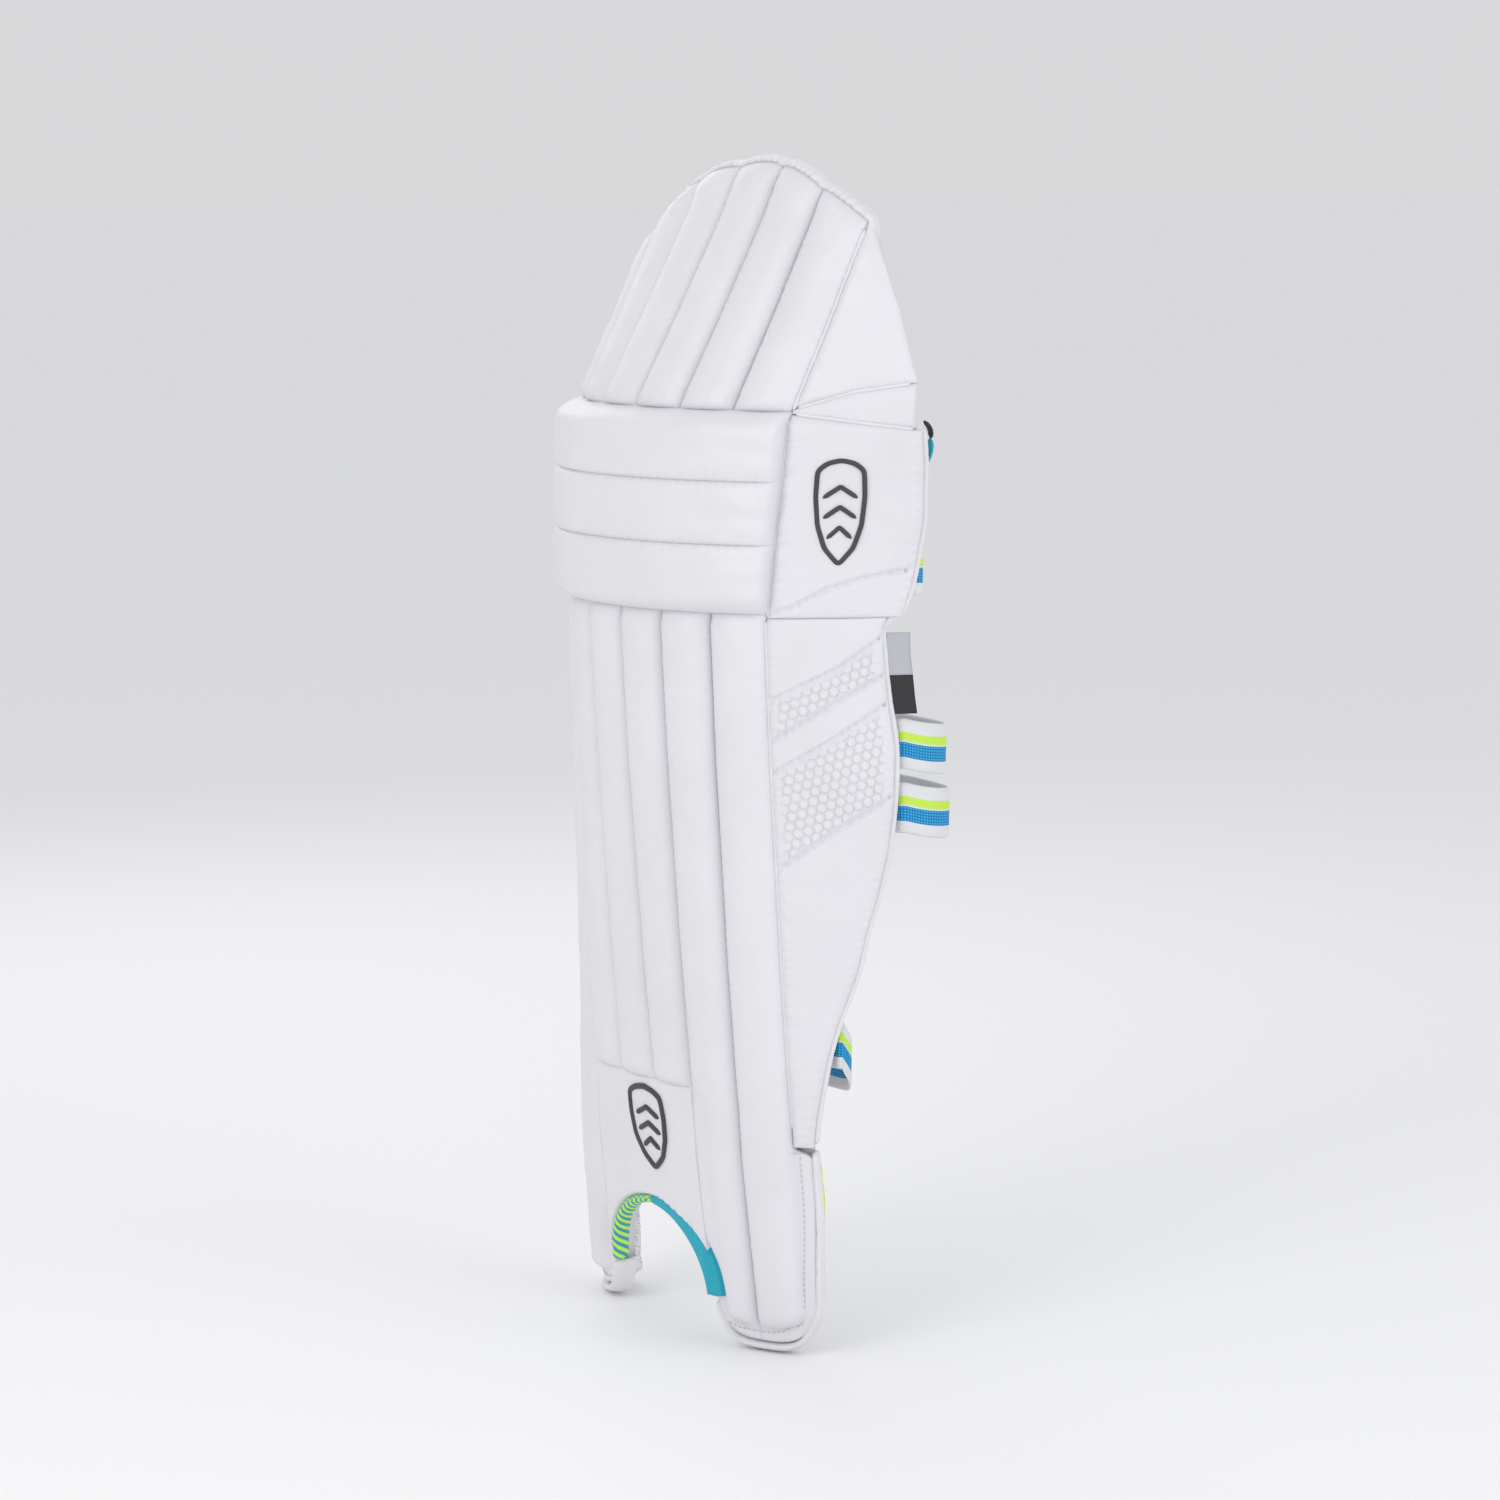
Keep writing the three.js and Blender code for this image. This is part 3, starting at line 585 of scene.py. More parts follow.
def round_end(dist, r):
    """0 at an end, 1 from r mm on, along a quarter circle."""
    t = np.clip(dist / r, 0, 1)
    return np.sqrt(np.clip(1 - (1 - t) ** 2, 0, 1))


def arch_z(k):
    return ARCH_SPRING + (ARCH_TOP - ARCH_SPRING) * np.sqrt(np.clip(1 - (np.abs(k) / ARCH_HALF) ** 2, 0, 1))


def arch_k(z):
    return (
        ARCH_HALF
        * np.sqrt(np.clip(1 - (np.maximum(0, z - ARCH_SPRING) / (ARCH_TOP - ARCH_SPRING)) ** 2, 0, 1))
    )


def taper(k, z):
    """The outer edge of a lobe draws in towards the floor."""
    k = np.asarray(k, float)
    return k - np.sign(k) * 0.13 * (1 - smooth(z, 30, 105)) * smooth(np.abs(k), 3.2, 3.87)


def lobe_foot(k):
    s = (np.abs(k) - 2.55) / (3.87 - 2.55)
    return LOBE_FOOT + 26 * np.abs(s) ** 3.2


# ------------------------------------------------------------------ shin channels
for n in range(1, 8):
    c = 4 - n
    side = 1 if c > 0 else -1
    if abs(c) < 2:
        s, t = grid(c - 0.5, c + 0.5, SHIN_FOOT, KNEE_LOW, 1.3, 1.7)
        K = c - 0.5 + s
        Z = SHIN_FOOT - 1.5 + (KNEE_LOW + 4 - SHIN_FOOT) * t
        D = channel_depth(np.clip(K, c - 0.499, c + 0.499), Z, 7.2, seed=n)
        end = round_end(Z - SHIN_FOOT + 1.5, 9) * round_end(KNEE_LOW + 4 - Z, 14)
        D = drawn_in(D, -1.8, end) + 0.5 * np.exp(-(Z - SHIN_FOOT) / 5) * np.sin(K * 26 + n) * (1 - end)
    else:
        s, t = grid(0, 1.2, 7, KNEE_LOW, 1.3, 1.7)
        across = s if c > 0 else 1 - s
        wide = LOBE_EDGE - 0.1 if abs(c) == 3 else 2.5
        guess = abs(c) - 0.5 + (wide - abs(c) + 0.5) * across
        foot = lobe_foot(guess)
        Z = foot + (KNEE_LOW + 4 - foot) * t
        if abs(c) == 2:
            inner, outer = np.maximum(1.5, arch_k(Z) + 0.06), 2.5
        else:
            inner, outer = 2.5, 3.5 + (LOBE_EDGE - 0.06 - 3.5) * (1 - smooth(Z, 123.5, 130.3))
        A = inner + (outer - inner) * across
        K = side * A
        D = channel_depth(side * np.clip(A, abs(c) - 0.499, abs(c) + 0.499), Z, 7.2, seed=n)
        # the flat stitched margin round the lobe
        rim = np.minimum(Z - lobe_foot(A), (LOBE_EDGE - 0.06 - A) * w_of(Z) + 40 * smooth(Z, 118, 132))
        rim = np.minimum(rim, (A - arch_k(Z) - 0.06) * w_of(Z) + 60 * smooth(Z, ARCH_TOP - 6, ARCH_TOP + 8))
        m = round_end(np.clip(rim - 8.5, 0, None), 9)
        D = np.where(A > 3.5, -1.0, D)
        D = drawn_in(D, -1.2, m)
        if abs(c) == 2:
            # below the shin channels this one runs into the flat instep panel with no seam
            plain = 1.4 + 2.8 * dome((A - 2.0) * 2, 2.2, 0.7) + 0.2 * noise(K * 3, Z / 16, n)
            plain = drawn_in(plain, -1.2, m)
            w = (1 - smooth(Z, 152, 166)) * (1 - smooth(A, 1.72, 2.1))
            D = D * (1 - w) + plain * w
        D = drawn_in(D, -1.8, round_end(KNEE_LOW + 4 - Z, 14))
    obj = slab(f"shin_channel_{n}", taper(K, Z), Z, D, -SKIN, M_LEATHER)
    on(obj, "shin", "white_leather", f"shin_channel_{n}", fill=0.85)

# ------------------------------------------------------------------ instep panel and foot
s, t = grid(-1.52, 1.52, ARCH_TOP, SHIN_FOOT, 1.3, 1.2)
K = -1.52 + 3.04 * s
foot = arch_z(K) - 1.0
Z = foot + (SHIN_FOOT + 1.5 - foot) * t
D = 2.0 + 0.9 * dome(K / 1.6, 3) + 0.25 * noise(K * 3, Z / 18, 5) + 0.15 * noise(K * 7, Z / 8, 6)
D = D + pucker(Z - arch_z(K), K * MM_PER_K, 5.0, 8)
D = drawn_in(
    D, -1.4, round_end(SHIN_FOOT + 1.5 - Z, 5), round_end(Z - foot, 3.5),
    round_end((K + 1.52) * MM_PER_K, 5)
)
panel = slab("instep_panel", K, Z, D, -LINING[0] + 1, M_LEATHER)
on(panel, "shin", "white_leather", "instep_panel", fill=0.5)


def arch_line(a0, a1, n, grow=0.0, d=-3.6):
    a = np.radians(np.linspace(a0, a1, n))
    k = -(ARCH_HALF - 0.06 + grow / 33) * np.cos(a)
    z = ARCH_SPRING + (ARCH_TOP - 3.4 + grow - ARCH_SPRING) * np.sin(a)
    return [[x, y, d] for x, y in zip(k, z)]


def leg(sgn):
    return [[sgn * (ARCH_HALF - 0.06), 29.0, -3.6]]


def cloth_ripple(g, t):
    return 0.03 * np.sin(g * 900 + 3 * np.sin(g * 210)) + 0.02 * np.sin(g * 2300 + t)


for word, line, thick, mat in (
    ("striped", leg(-1) + arch_line(0, 85, 14), 3.0, M_STRIPE),
    ("teal", arch_line(85, 180, 14) + leg(1), 3.3, M_TEAL),
):
    name = f"instep_binding_{word}"
    band = face_tube(name, line, 5.4, thick, mat, 1.6, section=20, ripple=cloth_ripple)
    on(band, "shin", f"{word}_binding", name)

# The binding's fold over the face, broad down the lateral leg.
path = np.array([p[:2] for p in arch_line(94, 179, 60)])[::-1]
run = unit(np.gradient(path * [MM_PER_K, 1], axis=0))
row = np.arange(len(path))[:, None]
broad = 4.8 + 6.2 * smooth(1 - row / (len(path) - 1), 0.1, 0.8) + 0.3 * noise(row / 5.0, 0.5, 19)
off = -1.5 + (broad + 1.5) * np.linspace(0, 1, 14)[None, :]
K, Z = path[:, :1] + run[:, 1:] * off / MM_PER_K, path[:, 1:] - run[:, :1] * off
top = 3.7 + 1.6 * (1 - smooth(K, 1.44, 1.58))
D = -1.6 + top * round_end(broad - off, 2.0) * round_end(off + 2.6, 2.2)
fold = slab("instep_binding_fold", K, Z, D, -2.6 + 0 * K, M_TEAL)
on(fold, "shin", "teal_binding")

LOBE_RUN = [
    [LOBE_EDGE, 128], [LOBE_EDGE, 110], [LOBE_EDGE + 0.01, 85], [LOBE_EDGE + 0.01, 60], [LOBE_EDGE, 42],
    [LOBE_EDGE - 0.02, 30]
]
LOBE_RUN += (
    [[k, float(lobe_foot(k)) - 4.0] for k in (3.78, 3.6, 3.35, 3.1, 2.85, 2.6, 2.35, 2.1, 1.88)]
    + [[1.72, 12.5], [1.6, 20], [1.52, 28]]
)
for sgn, word in ((1, "lateral"), (-1, "medial")):
    bind = face_tube(
        f"lobe_binding_{word}",
        [[sgn * (float(taper(k, z)) - 0.012), z + 0.3, -7.0] for k, z in LOBE_RUN], 7.6, 2.7, M_PIPE, 2.0,
        section=18, ripple=cloth_ripple
    )
    on(bind, "shin", "piping", f"lobe_binding_{word}")

s, t = unit_grid(12, 50)
Z = 82 + 42 * t
K = 3.62 + (LOBE_EDGE + 0.09 - 3.62 - 0.05 * (2 * t - 1) ** 4 + 0.006 * np.sin(Z / 3)) * s
obj = slab("lining_edge_tape", K, Z, -9.4 - 0.6 * s + 0.2 * noise(Z / 9, s * 3, 17), -11.6 + 0 * s, M_LIME)
on(obj, "shin", "mesh_cloth")

# ------------------------------------------------------------------ knee rolls
KNEE_SEAMS = (KNEE_LOW, KNEE_MID_1, KNEE_MID_2, KNEE_TOP)
ROLL_THICK = 17.6
for n, word in enumerate(("lower", "middle", "upper")):
    low, high = KNEE_SEAMS[n], KNEE_SEAMS[n + 1]
    s, t = grid(-3.5, 3.5, low, high, 1.5, 1.1)
    K = -3.52 + 7.02 * s
    Z = low - 0.6 + (high - low + 1.2) * t
    v = 2 * t - 1
    gap = (1 - np.abs(v)) * (high - low) / 2
    end_l = round_end((K + 3.52) * MM_PER_K, 12)
    end_r = round_end((3.50 - K) * MM_PER_K, 9)
    body = ROLL_THICK
    for inside, edge in ((n > 0, 1 + v), (n < 2, 1 - v)):
        seam, reach = (12.8, 8.5) if inside else (0.0, 13)
        body = body - (ROLL_THICK - seam) * (1 - round_end(edge * (high - low) / 2, reach))
    D = -1.0 + (body + 1.0) * end_l * (0.12 + 0.88 * end_r)
    near = np.exp(-(3.5 - K) * MM_PER_K / 22) + 0.8 * np.exp(-(K + 3.5) * MM_PER_K / 26)
    fan = np.sin(v * 8.5 + 2 * noise(K * 1.2, n + 0.5, 2)) * near
    D = D + 1.1 * pucker(gap, K * MM_PER_K, 3.8, n + 20) + 0.8 * fan * dome(v) * end_l * end_r
    D = D + 0.6 * noise(K * 1.3, Z / 16, n + 4) * dome(v) + 0.35 * noise(K * 4.2, Z / 7, n + 9) * dome(v)
    roll = slab(f"knee_roll_{word}", K, Z, D, -2.0, M_LEATHER)
    on(roll, "shin", "white_leather", f"knee_roll_{word}", fill=0.9)


# ------------------------------------------------------------------ top hat
HAT_FOOT = P(0, 566)
HAT_BEND = ("shin", "top_hat", HAT_FOOT.tolist(), (HAT_FOOT + [0, 0, 0.044]).tolist())


def hat_top(k):
    t = np.array(HAT_TOP)
    tangent = np.gradient(t[:, 1], t[:, 0])
    i = np.clip(np.searchsorted(t[:, 0], k, side="right") - 1, 0, len(t) - 2)
    h = t[i + 1, 0] - t[i, 0]
    f = np.clip((k - t[i, 0]) / h, 0, 1)
    return hermite(f, h, t[i, 1], t[i + 1, 1], tangent[i], tangent[i + 1]) + scallop(k)


def scallop(k):
    """Each channel stands a little higher than the seams beside it."""
    k = np.asarray(k, float)
    return (
        1.7 * (dome(2 * (k - np.round(k)), 2.0, 0.5) - 0.75) * smooth(k, -2.6, -2.2)
        * (1 - smooth(k, 3.2, 3.5))
    )


def hat_depth(K, Z, foot, top, seed):
    D = channel_depth(K, Z, 7.4, seed=seed)
    D = (
        D + 0.5 * np.exp(-(Z - foot) / 8) * np.sin(K * 30 + seed)
        + pucker(top - 6 - Z, K * MM_PER_K, 4, seed + 3)
    )
    return drawn_in(D, -1.6, round_end(Z - foot, 9), round_end(top - Z, 13))


for n in range(1, 7):
    c = 4 - n
    s, t = grid(c - 0.5, c + 0.5, 568, 700, 1.3, 1.6)
    K = c - 0.5 + s
    top = hat_top(K) - 1.5
    foot = KNEE_TOP - 0.8
    Z = foot + (top - foot) * t
    D = hat_depth(np.clip(K, c - 0.499, c + 0.499), Z, foot, top, 30 + n)
    obj = slab(f"hat_channel_{n}", K, Z, D, -SKIN, M_LEATHER)
    on(obj, "top_hat", "white_leather", f"hat_channel_{n}", fill=0.85, bend=HAT_BEND)

def low_k(k):
    """Height of the hat's side panel's lower edge."""
    return tab(GUSSET_TOP, k) + 0.3


# The side panels of the hat: a soft corner on the wing side and a narrow one on the other.
s, t = grid(0, 1.8, 575, 679, 1.4, 1.6)
K = 3.5 + 1.735 * s
edge_z = tab(HAT_EDGE, K)
Z = low_k(K) + (edge_z - low_k(K)) * t
slope = np.minimum((edge_z + 0.8 - Z) * 0.56, 60)
D = (
    2.6 + 1.3 * dome((s - 0.45) * 1.8, 2.2, 0.8) + 0.35 * noise(K * 2.5, Z / 18, 41)
    + 0.25 * noise(K * 6, Z / 8, 42)
)
D = (
    D + pucker((K - 3.5) * MM_PER_K, Z, 4, 43)
    + 0.9 * np.exp(-(K - 3.5) * MM_PER_K / 16) * noise(Z / 6.5, K * 1.5, 44)
)
D = drawn_in(D, -1.4, round_end((K - 3.5) * MM_PER_K, 6), round_end(slope, 10), round_end(Z - low_k(K), 6))
obj = slab("hat_side_lateral", K, Z, D, -SKIN, M_LEATHER)
on(obj, "top_hat", "white_leather", "hat_side_lateral", fill=0.5, bend=HAT_BEND)
s, t = grid(0, 1.4, 568, 648, 1.6, 1.8)
Z = 567 + (646 - 567) * t
left = tab([[567, -4.0], [590, -3.9], [622, -3.2], [646, -2.54]], Z)
K = left + (-2.5 - left) * s
D = 1.8 + 0.8 * dome((s - 0.5) * 2) + 0.3 * noise(K * 3, Z / 15, 45)
D = drawn_in(
    D, -1.4, round_end((-2.5 - K) * MM_PER_K, 6), round_end((K - left) * MM_PER_K, 7),
    round_end(Z - 567, 8)
)
obj = slab("hat_side_medial", K, Z, D, -SKIN, M_LEATHER)
on(obj, "top_hat", "white_leather", "hat_side_medial", fill=0.5, bend=HAT_BEND)

def gusset_low(k):
    return 566 - 4.6 * (k - 3.5)


# Gusset between the hat and the wing panel of the knee.
s, t = grid(0, 1.9, 0, 22, 1.6, 1.2)
K = 3.5 + (2.02 - 0.27 * t) * s
low, high = gusset_low(K), low_k(K)
Z = low + (high - low) * t
D = (
    0.8 + 1.2 * dome(2 * t - 1) + 0.5 * noise(K * 5, Z / 6, 51)
    + 0.6 * np.exp(-(K - 3.5) * 8) * np.sin(t * 12)
)
D = drawn_in(D, -1.5, round_end(Z - low, 3), round_end(high - Z, 3), round_end((1 - s) * 65, 5))
obj = slab("knee_gusset", K, Z, D, -7.0, M_SOFT)
on(obj, "shin", "white_leather", "knee_gusset", bend=HAT_BEND)

# Rolled seams of the knee and the hat.
for word, line, owner, bend in (
    ("knee", [[3.5, 447, 0.4], [3.5, 480, 0.6], [3.5, 530, 0.6], [3.5, 563, 0.3]], "shin", None),
    ("calf", [[3.5, 142, -0.3], [3.5, 200, -0.1], [3.5, 330, 0.0], [3.5, 445, 0.2]], "shin", None),
    ("hat", [[3.5, 568, 0.2], [3.5, 600, 0.4], [3.5, 640, 0.4], [3.5, 672, 0.0]], "top_hat", HAT_BEND),
    ("gusset_high", [[k, low_k(k), 0.0] for k in np.linspace(3.56, 5.15, 12)], "top_hat", HAT_BEND),
    ("gusset_low", [[k, gusset_low(k) + 0.2, 0.0] for k in np.linspace(3.56, 5.45, 12)], "shin", HAT_BEND),
):
    obj = face_tube(f"{word}_seam", line, 1.5, 1.25, M_PIPE, 2.0, section=10, ripple=cloth_ripple)
    on(obj, owner, "piping", bend=bend)

hat_edge = [[-4.0, 569], [-3.9, 590], [-3.2, 622], [-2.7, 641]]
hat_edge += (
    [[float(k), float(hat_top(float(k)))] for k in np.linspace(-2.5, 3.35, 48)]
    + [[3.5, 678.5], [3.72, 668], [4.2, 643], [4.52, 626], [4.8, 609.5], [5.06, 594], [5.22, 586]]
)
line = [[k - 0.05 * (k > 3.6), z - 0.5 - 1.5 * (k > 3.6), -6.6 - 2.2 * (k > 3.6)] for k, z in hat_edge]


def gathers(g, t):
    pleats = 0.10 * np.sin(g * 1050 + 2.2 * np.sin(g * 190)) * (0.4 + 0.6 * np.abs(np.sin(g * 88)))
    return pleats + 0.03 * np.sin(g * 2600 + t)


band = face_tube("hat_binding", line, 7.6, 2.9, M_PIPE, 1.3, section=18, ripple=gathers)
on(band, "top_hat", "piping", "hat_binding", bend=HAT_BEND)

# ------------------------------------------------------------------ linings and padding behind
def quilt(K, Z, pitch_k, pitch_z, deep):
    u, v = K / pitch_k, Z / pitch_z
    return deep * dome(2 * (u - np.round(u)), 2.2, 0.7) * dome(2 * (v - np.round(v)), 2.2, 0.7)


def back_panel(name, K, Z, front, back, mat, slot_name, rim=8, bend=None, body="shin", fill=0.5):
    """A lining: back is the depth of its face towards the leg, drawn in at its rim."""
    sides = (P(K[:, :1], Z), P(K[:, -1:], Z), P(K, Z[:1]), P(K, Z[-1:]))
    edge = np.minimum.reduce([np.linalg.norm(P(K, Z) - side, axis=2) for side in sides]) * 1000
    deep = front - 0.8 + (back - front + 0.8) * round_end(edge, rim)
    obj = slab(name, K, Z, front, deep, mat)
    return on(obj, body, slot_name, name, fill=fill, bend=bend)


def backing_rows(a, t):
    foot = 8.5 + 12 * np.abs((a - 2.55) / 0.95) ** 3
    return foot + (164.4 - foot) * t


s, t = grid(-3.45, 3.45, 165, 448, 3, 3)
K, Z = -3.45 + 6.9 * s, 165.6 + 282.8 * t
D = -LINING[1] + 1.2 - quilt(K, Z, 1.15, 70, 2.4) + 0.5 * noise(K * 3, Z / 20, 61)
back_panel("shin_lining", K, Z, -LINING[0] + 0.3, D, M_MESH, "mesh_cloth")
for sgn, word in ((1, "lateral"), (-1, "medial")):
    s, t = grid(1.62, 3.5, 0, 164, 2.5, 3)
    A = 1.64 + 1.84 * s
    K = sgn * (A if sgn > 0 else 3.5 + 1.62 - A)
    Z = backing_rows(A, t)
    D = -20.5 - quilt((A - 1.6) * 0.9, Z, 0.85, 55, 1.8) + 0.3 * noise(A * 3, Z / 20, 62)
    Z = backing_rows(np.abs(K), t)
    back_panel(f"lobe_backing_{word}", K, Z, -SKIN - 3.4, D, M_MESH, "mesh_cloth", rim=5)
s, t = grid(-3.45, 3.45, 449, 566, 3, 3)
K, Z = -3.45 + 6.9 * s, 450 + 115.5 * t
D = -20.5 - quilt(K, Z, 1.15, 39, 2.2) + 0.4 * noise(K * 3, Z / 20, 63)
back_panel("knee_backing", K, Z, -3.0, D, M_CLOTH, "foam")
s, t = grid(-3.4, 3.4, 568, 700, 3, 3)
K = -2.9 + 6.3 * s
top = hat_top(K) - 5
Z = 571 + (top - 571) * t
D = -20.0 - quilt(K, Z, 1.15, 46, 2.0) + 0.4 * noise(K * 3, Z / 20, 64)
back_panel("hat_lining", K, Z, -SKIN - 0.5, D, M_MESH, "mesh_cloth", bend=HAT_BEND)
for sgn, word in ((1, "lateral"), (-1, "medial")):
    s, t = grid(0, 1.2, 172, 440, 2.4, 2.6)
    K = sgn * 2.35 + (s - 0.5) * 1.16
    Z = 173 + 266 * t
    v = 2 * s - 1
    part = 2 * (((Z - 173) / 89) % 1) - 1
    lobes = dome(v, 2.0, 0.5) * (0.35 + 0.65 * dome(part, 6.0, 0.5))
    D = -23.4 - 16.5 * lobes + 0.5 * noise(K * 4, Z / 16, 65)
    back_panel(f"bolster_{word}", K, Z, -22.6, D, M_CLOTH, "foam", rim=14, fill=0.8)
s, t = grid(-1.9, 1.9, 0, 40, 2.4, 1.6)
c_low, c_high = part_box("knee_cup")
K = -1.95 + 3.9 * s
mid = (c_low[2] + c_high[2]) * 500
Z = mid - 19 + 38 * t
D = (
    -24.0 - 12.0 * dome(2 * t - 1, 2.0, 0.5) * (0.8 + 0.2 * dome(2 * s - 1, 4, 0.5))
    + 0.5 * noise(K * 3, Z / 10, 66)
)
back_panel("knee_cup", K, Z, -23.0, D, M_CLOTH, "foam", rim=14, fill=0.8)

# ------------------------------------------------------------------ outer wing
CALF_LOW, CALF_HIGH = 131, 446.5
PANEL_INSET, PIPE_INSET, STITCH_INSET = 2.4, 1.2, 5.2  # mm inside the outline
# Outline of the leather: the panel of the knee stands out past the panel of the calf.
OUTLINE = [p for p in WING_EDGE if p[0] < 420] + [
    [425, 5.56], [441, 5.57], [446.4, 5.62], [447, 5.85], [465, 5.93],
    [482, 5.935], [504, 5.925], [537, 5.78], [560, 5.64],
]


def wing_edge(z):
    return tab(OUTLINE, z)


def wing_bend(z0, z1):
    """From the seam, 18 mm along the wing."""
    a, b = P(3.5, (z0 + z1) / 2), P(4.0, (z0 + z1) / 2)
    return ("shin", "outer_wing", a.tolist(), b.tolist())


SEAMS = {
    1: [[3.5, 397.5], [3.56, 398.5], [4.66, 416.5], [5.6, 438]],
    2: [[3.5, 373.4], [3.53, 374], [4.54, 395], [5.62, 415]],
    3: [[3.5, 354.8], [3.51, 355], [4.44, 373], [5.66, 399]],
    4: [[3.5, 297], [4.43, 319], [5.5, 340.3]],
}


def seam_z(n, k):
    return tab(SEAMS[n], k)


def wing_panel(z_low, z_high, edge, columns, rows):
    """A grid from the seam to edge; its last two are mm from the seam and from the nearer side."""
    s, t = unit_grid(columns, rows)
    high = z_high(s) if callable(z_high) else z_high
    Z = z_low + (high - z_low) * t
    K = 3.5 + (edge(Z) - 3.5) * s
    arc = (K - 3.5) * MM_PER_K
    return s, Z, K, high, arc, np.minimum(arc, (edge(Z) - K) * MM_PER_K)


def wing_inside(s, edge_in):
    return -(WING_THICK - 2.2) + 2.0 * (1 - round_end(edge_in, 7)) - 1.2 * dome((s - 0.5) * 1.9)


def hex_cells(u, v, pitch):
    """0 in the lines and 1 in the cells of a hexagon pattern."""
    q = u / pitch
    r = v / (pitch * math.sqrt(3))
    best = np.full(u.shape, 9.0)
    second = np.full(u.shape, 9.0)
    for ou, ov in ((0, 0), (0.5, 0.5)):
        du = (q - ou - np.round(q - ou)) * pitch
        dv = (r - ov - np.round(r - ov)) * pitch * math.sqrt(3)
        for a in (-1, 0, 1):
            for b in (-1, 0, 1):
                d = np.hypot(du - a * pitch, dv - b * pitch * math.sqrt(3))
                second = np.where(d < best, best, np.minimum(second, d))
                best = np.minimum(best, d)
    return smooth(second - best, 0.35, 1.5)


def calf_edge(z):
    return wing_edge(np.minimum(z, 444.0)) - PANEL_INSET / MM_PER_K


nu, nv = (130, 520) if fine == 1 else (70, 240)
s, Z, K, _, arc, edge_in = wing_panel(CALF_LOW, CALF_HIGH, calf_edge, nu, nv)
base = (
    3.4 * dome((s - 0.42) * 1.5, 2.4, 0.8) + 0.5 * noise(K * 2, Z / 32, 71)
    + 0.28 * noise(K * 5, Z / 12, 72)
)
groove = np.zeros_like(K)
for n in SEAMS:
    g = Z - seam_z(n, K)
    groove = groove + 1.9 * np.exp(-((g / 1.7) ** 2)) + 0.8 * pucker(g, arc, 3.4, 70 + n)
hexed = sum((Z < seam_z(n, K) - 3) & (Z > seam_z(n + 1, K) + 3) for n in (1, 3))
hexed = hexed * smooth((calf_edge(Z) - K) * MM_PER_K, 5, 9) * smooth(arc, 4, 7)
cells = hex_cells(arc * 0.955 + Z * 0.296, Z * 0.955 - arc * 0.296, 6.0)
D = base + 0.7 - groove + hexed * (1.05 * cells - 0.5)
D = D + pucker(edge_in, Z, 3.5, 77) * 1.2
D = D + 0.8 * np.exp(-arc / 13) * noise(Z / 5.5, arc / 24, 78)
ends = (round_end(Z - CALF_LOW, 6), 0.35 + 0.65 * round_end(CALF_HIGH - Z, 7))
D = drawn_in(D, -0.3, round_end(edge_in, 5), *ends)
calf = slab("wing_calf_panel", K, Z, D, wing_inside(s, edge_in), M_SOFT)
on(calf, "outer_wing", "white_leather", "wing_calf_panel", fill=0.6, bend=wing_bend(CALF_LOW, 446))

def rear(z):
    return wing_edge(np.maximum(z, 447.0)) - PANEL_INSET / MM_PER_K


def knee_panel_top(s):
    return 565.6 - 4.6 * 2.05 * s


KNEE_QUILT = [[3.5, 449], [3.85, 452.7], [4.43, 463.8], [5.02, 470], [5.62, 473.7], [5.9, 475]]
nu, nv = (150, 200) if fine == 1 else (70, 90)
s, Z, K, high, arc, edge_in = wing_panel(CALF_HIGH, knee_panel_top, rear, nu, nv)
g = Z - tab(KNEE_QUILT, K)
D = (
    4.2 * dome((s - 0.42) * 1.5, 2.4, 0.8) + 0.6 * noise(K * 2, Z / 30, 81)
    + 0.35 * noise(K * 5, Z / 11, 82)
)
D = D - 2.0 * np.exp(-((g / 1.8) ** 2)) + 0.8 * pucker(g, arc, 4, 83)
D = D + pucker(edge_in, Z, 3.5, 84) * 1.3 + 1.1 * np.exp(-arc / 12) * noise(Z / 6, arc / 20, 85)
ends = (0.35 + 0.65 * round_end(Z - CALF_HIGH, 6), round_end(high - Z, 6))
D = drawn_in(D, -0.3, round_end(edge_in, 5), *ends)
knee_panel = slab("wing_knee_panel", K, Z, D, wing_inside(s, edge_in), M_SOFT)
on(knee_panel, "outer_wing", "white_leather", "wing_knee_panel", fill=0.6, bend=wing_bend(446, 566))

def piped(heights):
    return [[wing_edge(z) - PIPE_INSET / MM_PER_K, z, -3.4] for z in heights]


pipe = piped((133, 150, 168, 188, 205, 221, 237, 259, 280, 309, 338, 368, 400, 425, 441))
pipe += [[5.60, 445.0, -3.4], [5.74, 448.2, -3.4]]
pipe += piped((456, 465, 482, 504, 520, 537, 550)) + [[5.62, 557.5, -4.4]]
piping = face_tube("wing_piping", pipe, 2.3, 2.3, M_PIPE, 2.0, ripple=cloth_ripple)
on(piping, "outer_wing", "piping", "wing_piping")
hem = [[k, 132.2, -4.6] for k in (3.56, 3.64, 3.72, 3.80, float(wing_edge(133)) - 0.06)]
hem = face_tube("wing_hem", hem, 4.0, 1.6, M_PIPE, 1.0, ripple=cloth_ripple)
on(hem, "outer_wing", "piping")
# The lining shows behind the notch under the wing.
s, t = unit_grid(10, 10)
obj = slab("notch_backing", 3.46 + 0.38 * s, 124.6 + 15 * t, -10.3 + 0 * s, -11.5 + 0 * s, M_LEATHER)
on(obj, "shin", "white_leather")

